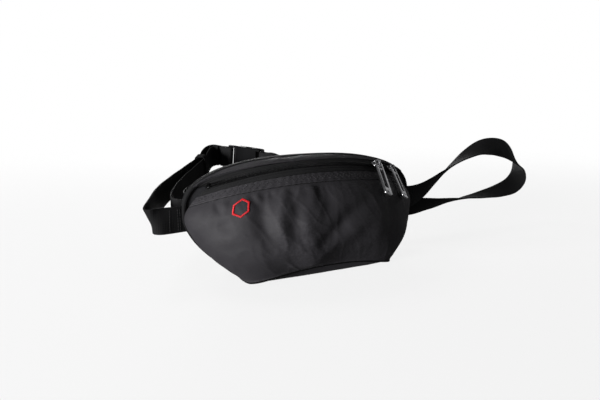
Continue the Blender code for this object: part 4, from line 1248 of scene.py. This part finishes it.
piping = laid("seam_piping", 220, 10, piping_place, (0.2, 2 * math.pi * PIPING_RADIUS), PIPING)
merged(piping, MERGE_WITHIN, close=True)
dressed(piping, "pack", "face_fabric")

# %% [markdown]
# ## The back: an outline used three times
# The padded back, its binding and the lining inside all share the back's outline, so it
# is worked out once as a closed line of points.
# %% The back's outline
OUTLINE_MIDDLE = np.array((0.0, 55 * MM))


def back_outline():
    """Corners (x, z) of the back: right side, top, left side, bottom."""
    side = wall(np.ones(13), np.linspace(0.0, 0.72, 13))
    top_x = TIP_HALF_WIDTH * (1 - np.linspace(0.015, 1.0, 25) ** 1.6)
    right = [(p[0], p[2]) for p in side] + [(x, float(arch(x))) for x in top_x]
    bottom = [(x, 0.0) for x in np.linspace(-BASE_HALF_WIDTH, BASE_HALF_WIDTH, 25)[1:-1]]
    return np.array(right + [(-x, z) for x, z in reversed(right[:-1])] + bottom)


OUTLINE = back_outline()
print("the back's outline has", len(OUTLINE), "points")


def on_disc(u, v, y, inset):
    """Lay a square grid inside the outline, like a sheet trimmed to its shape."""
    a, b = share_of(u), share_of(v)
    across, climb = a * np.sqrt(1 - b * b / 2), b * np.sqrt(1 - a * a / 2)
    turn = np.arctan2(climb, across)
    reach = np.hypot(across, climb)
    away = OUTLINE - OUTLINE_MIDDLE
    angles = np.arctan2(away[:, 1], away[:, 0])
    order = np.argsort(angles)
    edge = np.interp(turn, angles[order], np.hypot(*away.T)[order], period=2 * math.pi) - inset
    x = OUTLINE_MIDDLE[0] + np.cos(turn) * edge * reach
    z = OUTLINE_MIDDLE[1] + np.sin(turn) * edge * reach
    return np.stack([x, 0 * u + y, z], axis=-1), reach


def flat_uv(piece):
    """UV straight from the width and height of each point, in metres."""
    corners = np.empty(len(piece.data.loops), dtype=np.int32)
    piece.data.loops.foreach_get("vertex_index", corners)
    set_uv(piece, points_of(piece)[corners][:, (0, 2)])


# %% Padded back, by cloth simulation
PAD_FRONT_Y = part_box("back_foam")[0].y
PAD_THICK = 4.4 * MM
PAD_VOXEL = 2.6 * MM
PAD_PRESSURE = 4.0
PAD_SWELL = 1.7 * MM
SETTLE_FRAMES = 20
CHANNELS = (-44 * MM, 44 * MM)
CHANNEL_DEPTH = 2.2 * MM


def pad_shell():
    """A closed, slightly thin pad for the simulation to fill."""
    def place(u, v):
        points, _ = on_disc(1 - u, v, 0.0, 2.5 * MM)
        points[:, 1] = BACK_FACE_Y - 1.3 * MM
        return points
    made = laid("back_pad", 90, 60, place, (0.25, 0.11), SPACER_MESH)
    thickened(made, PAD_THICK)
    return made


def inflate(piece, voxel, pressure, cap):
    """Fill a closed piece like a cushion, and keep each point within a distance of its start."""
    apply_modifier(piece, "REMESH", mode="VOXEL", voxel_size=voxel, use_smooth_shade=True)
    start = points_of(piece)
    cloth = piece.modifiers.new("cloth", "CLOTH")
    cloth.settings.quality = 6
    cloth.settings.mass = 0.2
    cloth.settings.tension_stiffness = 12
    cloth.settings.compression_stiffness = 12
    cloth.settings.bending_stiffness = 0.6
    cloth.settings.use_pressure = True
    cloth.settings.uniform_pressure_force = pressure
    cloth.settings.effector_weights.gravity = 0.0
    cloth.collision_settings.use_collision = False
    cloth.point_cache.frame_end = SETTLE_FRAMES
    for step in range(1, SETTLE_FRAMES + 1):
        bpy.context.scene.frame_set(step)
    only(piece)
    bpy.ops.object.modifier_apply(modifier=cloth.name)
    moved = points_of(piece) - start
    far = np.linalg.norm(moved, axis=1, keepdims=True)
    set_points(piece, start + moved * np.minimum(1.0, cap / np.maximum(far, 1e-9)))
    bpy.context.scene.frame_set(1)


pad = pad_shell()
inflate(pad, PAD_VOXEL, PAD_PRESSURE, PAD_SWELL)
apply_modifier(pad, "SUBSURF", levels=1, render_levels=1)
shape = points_of(pad)
for channel in CHANNELS:
    curve = channel * (1 - 0.25 * ((shape[:, 2] - 50 * MM) / (50 * MM)) ** 2)
    groove = CHANNEL_DEPTH * hump(shape[:, 0], curve, 2.2 * MM)
    shape[:, 1] -= np.where(shape[:, 1] > BACK_FACE_Y - 3 * MM, groove, 0)
shape[:, 1] = np.clip(shape[:, 1], PAD_FRONT_Y + 0.2 * MM, BACK_FACE_Y + 1.2 * MM)
shape[:, 2] = np.maximum(shape[:, 2], 0.4 * MM)
set_points(pad, shape)
dressed(pad, "pack", "spacer_mesh", "back_foam", "back_mesh")

# %% [markdown]
# ## Edge binding
# All raw edges round the back are covered by a narrow woven tape folded over them.  It is
# laid as a strip round the outline with a U-shaped section.
# %% Binding round the back
BIND_FRONT_Y = SEAM_Y + 0.2 * MM
BIND_BACK_Y = BACK_FACE_Y + 0.4 * MM
BIND_LAP = 3.2 * MM
BIND_SECTION = np.array((
    # share of the tape's width, how far back it lies, how far outside the outline
    (0.00, BIND_FRONT_Y, -BIND_LAP * 0.5),
    (0.22, BIND_FRONT_Y, 0.2 * MM),
    (0.30, BIND_FRONT_Y + 0.7 * MM, 0.9 * MM),
    (0.70, BIND_BACK_Y - 0.7 * MM, 0.9 * MM),
    (0.78, BIND_BACK_Y, 0.2 * MM),
    (1.00, BIND_BACK_Y, -BIND_LAP),
))
BIND_UV_SIZE = (0.62, 14 * MM)     # length and width of the tape
BIND_STITCH_INSET = 2.0 * MM


def outline_at(u):
    """A point of the closed outline and its outward direction, by share of its length."""
    closed = np.vstack([OUTLINE, OUTLINE[:1]])
    run = run_along(closed)
    at = (u % 1.0) * run[-1]
    before, after = ((at + step) % run[-1] for step in (-2 * MM, 2 * MM))
    along = unit(read_line(closed, run, after) - read_line(closed, run, before))
    return read_line(closed, run, at), np.stack([along[:, 1], -along[:, 0]], axis=-1)


def binding_place(u, v):
    edge, out = outline_at(u)
    y, lap = read_line(BIND_SECTION[:, 1:], BIND_SECTION[:, 0], v).T
    flat = edge + out * lap[:, None]
    return np.stack([flat[:, 0], y, np.maximum(flat[:, 1], 0.0)], axis=-1)


binding = laid("edge_binding", 360, 18, binding_place, BIND_UV_SIZE, BINDING, turned=True)
merged(binding, 0.02 * MM)
thickened(binding, 0.45 * MM)
dressed(binding, "pack", "zip_tape")

edge, out = outline_at(np.linspace(0.0, 1.0, 500))
x, z = (edge - out * BIND_STITCH_INSET).T
line = np.stack([x, 0 * x + BIND_BACK_Y + 0.05 * MM, np.maximum(z, 0.8 * MM)], axis=-1)
backwards = np.tile((0.0, 1.0, 0.0), (len(line), 1))
row = stitch_frames(line, backwards, 2.6 * MM, 0.6 * MM)
dressed(copies("binding_stitches", BALL, row, DARK_THREAD), "pack", "zip_tape")

# %% [markdown]
# ## Inside
# When the mouth opens, the lining shows: a loose inner bag hung from the zip, and a flat
# panel against the back.  Both are thin cloth with soft wrinkles.
# %% Lining


def lining_base(u, v):
    """The part of the wall that the lining hangs behind."""
    return wall((2 * u - 1) * 0.93, 0.09 + 0.71 * v)


def lining_place(u, v):
    points, _, _, out = surface_frame(lining_base, u, v)
    wrinkles = 1.2 * MM * (1 + rolling(points, 19 * MM, 21))
    loose = 2.6 * MM + inside(v, 0.15, 0.1) * wrinkles
    return points - loose[:, None] * out


lining = laid("lining_bag", 120, 50, lining_place, (0.26, 0.08), LINING_FABRIC)
thickened(lining, 0.5 * MM)
dressed(lining, "pack", "lining", "lining_pouch")


def inner_back_place(u, v):
    points, reach = on_disc(u, v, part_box("back_lining")[0].y, 1.5 * MM)
    soft = np.clip((1 - reach) / 0.15, 0, 1)
    points[:, 1] -= soft * 0.35 * MM * (1 + rolling(points, 21 * MM, 23))
    return points


inner_back = laid("lining_back", 90, 60, inner_back_place, (0.25, 0.11), LINING_FABRIC)
flat_uv(inner_back)
thickened(inner_back, 0.6 * MM)
dressed(inner_back, "pack", "lining", "back_lining")

# %% [markdown]
# ## Belt
# The belt is three lengths of ribbed webbing: the left strap folds at the pack and runs
# up to the buckle, its free tail comes back through a keeper and lies coiled behind the
# pack, and the right strap hangs in one slack, twisting loop.  Each follows a route of
# middle points, and beside each point stands the direction of the webbing's width.
# %% Routes, in mm: x from the pack's middle, y from the back face, z from the ground
LEFT_ROUTE = (
    ((-119, -3.2, 57), (-0.05, 0, 1)),
    ((-127, -4, 57), (-0.05, 0, 1)),
    ((-138, -5.5, 57), (-0.1, 0, 1)),
    ((-148, -7, 57.5), (-0.25, 0, 1)),
    ((-154.5, -5.5, 58), (-0.4, -0.1, 1)),
    ((-156, -0.5, 59), (-0.4, -0.15, 1)),
    ((-152, 11, 62), (-0.25, -0.1, 1)),
    ((-138, 49, 67), (-0.1, -0.05, 1)),
    ((-120, 83, 71), (0, -0.05, 1)),
    ((-97, 114, 77), (0.02, -0.05, 1)),
    ((-74, 142, 84), (0.03, -0.05, 1)),
    ((-64.5, 160, 89), (0.03, -0.05, 1)),
    ((-55, 171, 93), (0.03, -0.05, 1)),
    ((-46, 174.5, 94.5), (0.03, -0.05, 1)),
)
RIGHT_ROUTE = (
    ((119, -3.5, 56), (0, 0.05, -1)),
    ((127, -3.4, 56), (0, 0.05, -1)),
    ((140, -1, 56), (0.05, 0.15, -1)),
    ((158, 3, 60), (0.3, 0.5, -1)),
    ((184, 8, 72), (0.4, 0.9, -0.8)),
    ((212, 13, 86), (0.2, 1, -0.35)),
    ((241, 17, 98), (0, 1, 0.1)),
    ((268, 20, 104), (0, 0.8, 0.75)),
    ((292, 23, 103), (0.15, 0.45, 1)),
    ((312, 25, 97), (0.4, 0.6, 1)),
    ((329, 26, 85), (0.5, 0.9, 0.6)),
    ((337, 26, 70), (0.15, 1, 0.1)),
    ((333, 25, 56), (-0.25, 1, 0.35)),
    ((317, 23, 47.5), (-0.25, 1, 0.5)),
    ((289, 21, 43), (-0.1, 1, 0.25)),
    ((256, 19, 41), (0, 1, -0.05)),
    ((221, 18, 39.5), (0, 1, -0.4)),
    ((183, 17, 38), (0, 0.8, -0.8)),
    ((145, 19, 38), (0, 0.3, -1)),
    ((112, 27, 42), (0, 0.05, -1)),
    ((84, 43, 49), (0, 0, -1)),
    ((60, 65, 60), (0.05, 0, -1)),
    ((38, 87, 72), (0, 0.05, -1)),
)
TAIL_ROUTE = (
    ((-41.6, 166, 93.2), (0.03, -0.06, 1)),
    ((-46, 167.6, 93), (0, 0, 1)),
    ((-52, 164.5, 91.5), (0, 0, 1)),
    ((-58, 155, 88.5), (0, 0, 1)),
    ((-66, 140.5, 83), (0, 0, 1)),
    ((-85, 115, 76), (0, 0, 1)),
    ((-104, 85, 71), (0, 0, 1)),
    ((-120, 53, 67), (0, 0, 1)),
    ((-130, 27, 64), (0, 0, 1)),
    ((-131, 12, 62), (0, 0, 1)),
    ((-120, 6, 61), (0, 0, 1)),
    ((-92, 7, 60), (0, 0, 1)),
    ((-66, 10, 61), (0, 0, 1)),
    ((-52, 19, 63), (0, 0, 1)),
    ((-50, 37, 65), (0, 0, 1)),
    ((-60, 57, 66), (0, 0, 1)),
    ((-78, 68, 66.5), (0, 0, 1)),
    ((-96, 63, 66), (0, 0, 1)),
    ((-110, 45, 65), (0, 0, 1)),
    ((-117, 29, 64), (0, 0, 1)),
    ((-112, 18.5, 63), (0, 0, 1)),
    ((-98, 17, 62), (0, 0, 1)),
    ((-76, 20, 62), (0, 0, 1)),
)

# %% The buckle's own frame, and the turns of webbing round its bars
BELT_WIDTH = 25.0 * MM
BELT_THICK = 1.4 * MM
BUCKLE_MIDDLE = np.array((-22.0, BACK_FACE_Y / MM + 146.0, 91.0)) * MM
BUCKLE_AXIS = unit(np.array((0.67, -0.735, -0.09)))
BUCKLE_FACE = unit(np.cross(unit(np.array((0.03, -0.06, 1.0))), BUCKLE_AXIS))
BUCKLE_UP = np.cross(BUCKLE_AXIS, BUCKLE_FACE)
SOCKET_LENGTH = 27.0 * MM
SLOT_LENGTH = 5.2 * MM
BAR_LENGTH = 3.4 * MM
BAR_HALF_DEPTH = 1.8 * MM
TONGUE_BACK = -(BAR_LENGTH + SLOT_LENGTH + 5.0 * MM)
WRAP_SLACK = 0.95 * MM


def wrap_rows(bar_from, direction, lead, way):
    """Route rows that take webbing to a bar, round it and back on itself."""
    middle = bar_from + BAR_LENGTH / 2
    reach = BAR_LENGTH / 2 + BELT_THICK / 2 + WRAP_SLACK
    lift = BAR_HALF_DEPTH + BELT_THICK / 2 + WRAP_SLACK
    steps = [(-lead, 1.8 * MM), (-reach - 4 * MM, 3.2 * MM), (-reach * 0.5, lift)]
    steps += [(reach * math.sin(turn), lift * math.cos(turn))
              for turn in (0.35, 0.8, math.pi / 2, math.pi - 0.8, math.pi - 0.35)]
    steps += [(-reach * 0.5, -lift), (-reach - 4 * MM, -3.2 * MM), (-lead, -1.0 * MM)]
    rows = []
    for along, out in steps:
        point = BUCKLE_MIDDLE + (middle + direction * along) * BUCKLE_AXIS + out * BUCKLE_FACE
        rows.append((point, way * BUCKLE_UP))
    return rows


def route_rows(route):
    """A route's rows in metres, in the pack's frame."""
    return [(np.array((x, y + BACK_FACE_Y / MM, z)) * MM, unit(np.array(lean, dtype=float)))
            for (x, y, z), lean in route]


# %% Webbing along a route
STEP_ALONG = 0.95 * MM
STITCH_EDGE = 0.14      # how far across the webbing a sewn box starts, as a share


class Strap:
    """A flat band along a route, read by share of its length."""

    def __init__(self, rows):
        self.rows = np.array([row[0] for row in rows])
        self.leans = np.array([row[1] for row in rows])
        self.dense = np.linspace(0, 1, 4000)
        self.run = run_along(smooth_curve(self.rows, self.dense))
        self.length = self.run[-1]

    def frame(self, share):
        """Middle, width direction and face normal."""
        at = np.interp(np.clip(share, 0, 1) * self.length, self.run, self.dense)
        ahead = smooth_curve(self.rows, np.minimum(at + 4e-4, 1))
        behind = smooth_curve(self.rows, np.maximum(at - 4e-4, 0))
        tangent = unit(ahead - behind)
        lean = smooth_curve(self.leans, at)
        lean = unit(lean - np.sum(lean * tangent, axis=1, keepdims=True) * tangent)
        return smooth_curve(self.rows, at), lean, np.cross(tangent, lean)

    def place(self, share, across):
        """across runs from 0 to 1 over the width."""
        middle, lean, face = self.frame(share)
        ripple = 0.12 * MM * np.sin(share * self.length / (5.3 * MM) + across * 2.0)
        return middle + lean * ((across - 0.5) * BELT_WIDTH)[:, None] + face * ripple[:, None]


def webbing(name, strap):
    """The band itself, with rounded selvedges and UV in metres across and along."""
    columns = int(strap.length / STEP_ALONG)
    size = (strap.length, BELT_WIDTH)
    made = laid(name, columns, 8, strap.place, size, WEBBING, turned=True)
    thickened(made, BELT_THICK, offset=0.0)
    edges_rounded(made, 0.45 * MM, 2, 60)
    print(name, "is", round(strap.length / MM), "mm long")
    return made


def sewn(name, strap, paths):
    """Stitches on both faces of a strap, along paths of (metres along, share across)."""
    frames = []
    for path in paths:
        path = np.array(path)
        knots = np.linspace(0, 1, len(path))
        along, across = read_line(path, knots, np.linspace(0, 1, 60)).T
        share = along / strap.length
        for side in (1, -1):
            face = strap.frame(share)[2] * side
            line = strap.place(share, across) + face * BELT_THICK / 2
            frames += stitch_frames(line, face, 2.2 * MM, 0.4 * MM, width=0.7 * MM)
    return dressed(copies(name, BALL, frames, DARK_THREAD), "pack", "webbing")


def sewn_box(first, last):
    """A sewn rectangle with a cross in it, as at a strap's end."""
    low, high = STITCH_EDGE, 1 - STITCH_EDGE
    box = [(first, low), (last, low), (last, high), (first, high), (first, low)]
    return [box, [(first, low), (last, high)], [(first, high), (last, low)]]


left = Strap(route_rows(LEFT_ROUTE) + wrap_rows(TONGUE_BACK, 1, 13.2 * MM, 1))
right = Strap(route_rows(RIGHT_ROUTE) + wrap_rows(SOCKET_LENGTH + SLOT_LENGTH, -1, 17 * MM, -1))
tail = Strap(route_rows(TAIL_ROUTE))

for end, strap in (("left", left), ("tail", tail)):
    belt = webbing("belt_strap_" + end, strap)
    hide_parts("belt_" + end)
    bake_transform(belt)
dressed(webbing("belt_strap_right", right), "pack", "webbing", "belt_right")

SEWN_AT = [[(along, 0.08), (along, 0.92)] for along in (10 * MM, 12 * MM, 20 * MM)]
sewn("belt_stitches_left", left, SEWN_AT)
sewn("belt_stitches_right", right, SEWN_AT)
sewn("belt_stitches_tail", tail, sewn_box(tail.length - 16 * MM, tail.length - 3 * MM))

# %% Elastic keeper round the strap and its tail
KEEPER_LENGTH = 9.0 * MM
KEEPER_SQUARENESS = 0.35
tail_points = [point for point, _ in route_rows(TAIL_ROUTE)]
keeper_belt = route_rows(LEFT_ROUTE)[10][0]
keeper_tail = tail_points[4]
keeper_along = unit(tail_points[3] - tail_points[5])
keeper_up = np.array((0.0, 0.0, 1.0))
keeper_up = unit(keeper_up - keeper_up @ keeper_along * keeper_along)
keeper_out = np.cross(keeper_along, keeper_up)
half_out = abs((keeper_belt - keeper_tail) @ keeper_out) / 2 + BELT_THICK / 2 + 2.2 * MM
half_up = abs((keeper_belt - keeper_tail) @ keeper_up) / 2 + BELT_WIDTH / 2 + 1.8 * MM


def squared(wave):
    """A sine or cosine flattened, so that a circle becomes a rounded rectangle."""
    return np.sign(wave) * np.abs(wave) ** KEEPER_SQUARENESS


def keeper_place(u, v):
    """A rounded loop, u round it and v across its width, gathered by its elastic."""
    turn = u * 2 * math.pi
    a = squared(np.cos(turn)) * half_out
    b = squared(np.sin(turn)) * half_up
    a += np.sign(a) * 0.125 * MM * np.sin(turn * 23)
    along = (v - 0.5) * KEEPER_LENGTH
    middle = (keeper_belt + keeper_tail) / 2
    return middle + (a[:, None] * keeper_out + b[:, None] * keeper_up + along[:, None] * keeper_along)


keeper = laid("tail_keeper_loop", 96, 6, keeper_place, (0.09, KEEPER_LENGTH), ELASTIC)
merged(keeper, MERGE_WITHIN)
thickened(keeper, 0.9 * MM)
edges_rounded(keeper, 0.25 * MM, 2, 60)
dressed(keeper, "pack", "elastic", "tail_keeper")

# %% [markdown]
# ## Emblem
# A plain hexagon ring, embroidered in red satin stitch: close-set threads all lie across
# the stroke, so each side of the ring has its own shine.
# %% Satin-stitched hexagon
EMBLEM_ALONG = -0.587
EMBLEM_UP = 0.73
EMBLEM_RADIUS = 9.0 * MM
EMBLEM_STROKE = 2.0 * MM
THREADS_A_SIDE = 30


def whole_wall(u, v):
    return wall(2 * u - 1, v)


def on_emblem(x, y):
    """Points on the creased front at distances from the emblem's middle, with normals."""
    step = 0.01
    at, up = np.full(len(x), EMBLEM_ALONG), np.full(len(x), EMBLEM_UP)
    middle = wall(at, up)
    metres_right = np.linalg.norm(wall(at + step, up) - middle, axis=1) / step
    metres_up = np.linalg.norm(wall(at, up + step) - middle, axis=1) / step
    share, up = at + x / metres_right, up + y / metres_up
    points, _, _, out = surface_frame(whole_wall, (share + 1) / 2, up)
    top = wall_up_at(FRONT_TOP_GAP, share)
    return points + fold_height(share, up, top)[:, None] * out, out


def hexagon(radius, turn):
    """Points of a hexagon's edge; turn counts sides, from 0 to 6."""
    corner = np.floor(turn)
    part = turn - corner
    a, b = (math.pi / 3 * (corner + k) + math.pi / 6 for k in range(2))
    return (radius * (np.cos(a) * (1 - part) + np.cos(b) * part),
            radius * (np.sin(a) * (1 - part) + np.sin(b) * part))


turn = np.arange(6 * THREADS_A_SIDE) / THREADS_A_SIDE + 1e-6
inner, out = on_emblem(*hexagon(EMBLEM_RADIUS - EMBLEM_STROKE, turn))
outer, _ = on_emblem(*hexagon(EMBLEM_RADIUS, turn))
frames = []
for k, (start, end, normal) in enumerate(zip(inner, outer, out)):
    x = (end - start) * (1.04 + 0.05 * math.sin(k * 2.7))
    y = unit(np.cross(normal, x)) * THREAD_WIDTH
    frames.append(((start + end) / 2 + normal * 0.3 * MM, x, y, normal * 0.95 * MM))
points, faces = pattern_piece(bpy.ops.mesh.primitive_uv_sphere_add,
                              segments=8, ring_count=7, radius=0.5)
strand = (points[:, (2, 0, 1)], faces)      # its poles are at the two ends of the thread
dressed(copies("emblem_ring", strand, frames, RED_THREAD), "pack", "embroidery", "emblem")
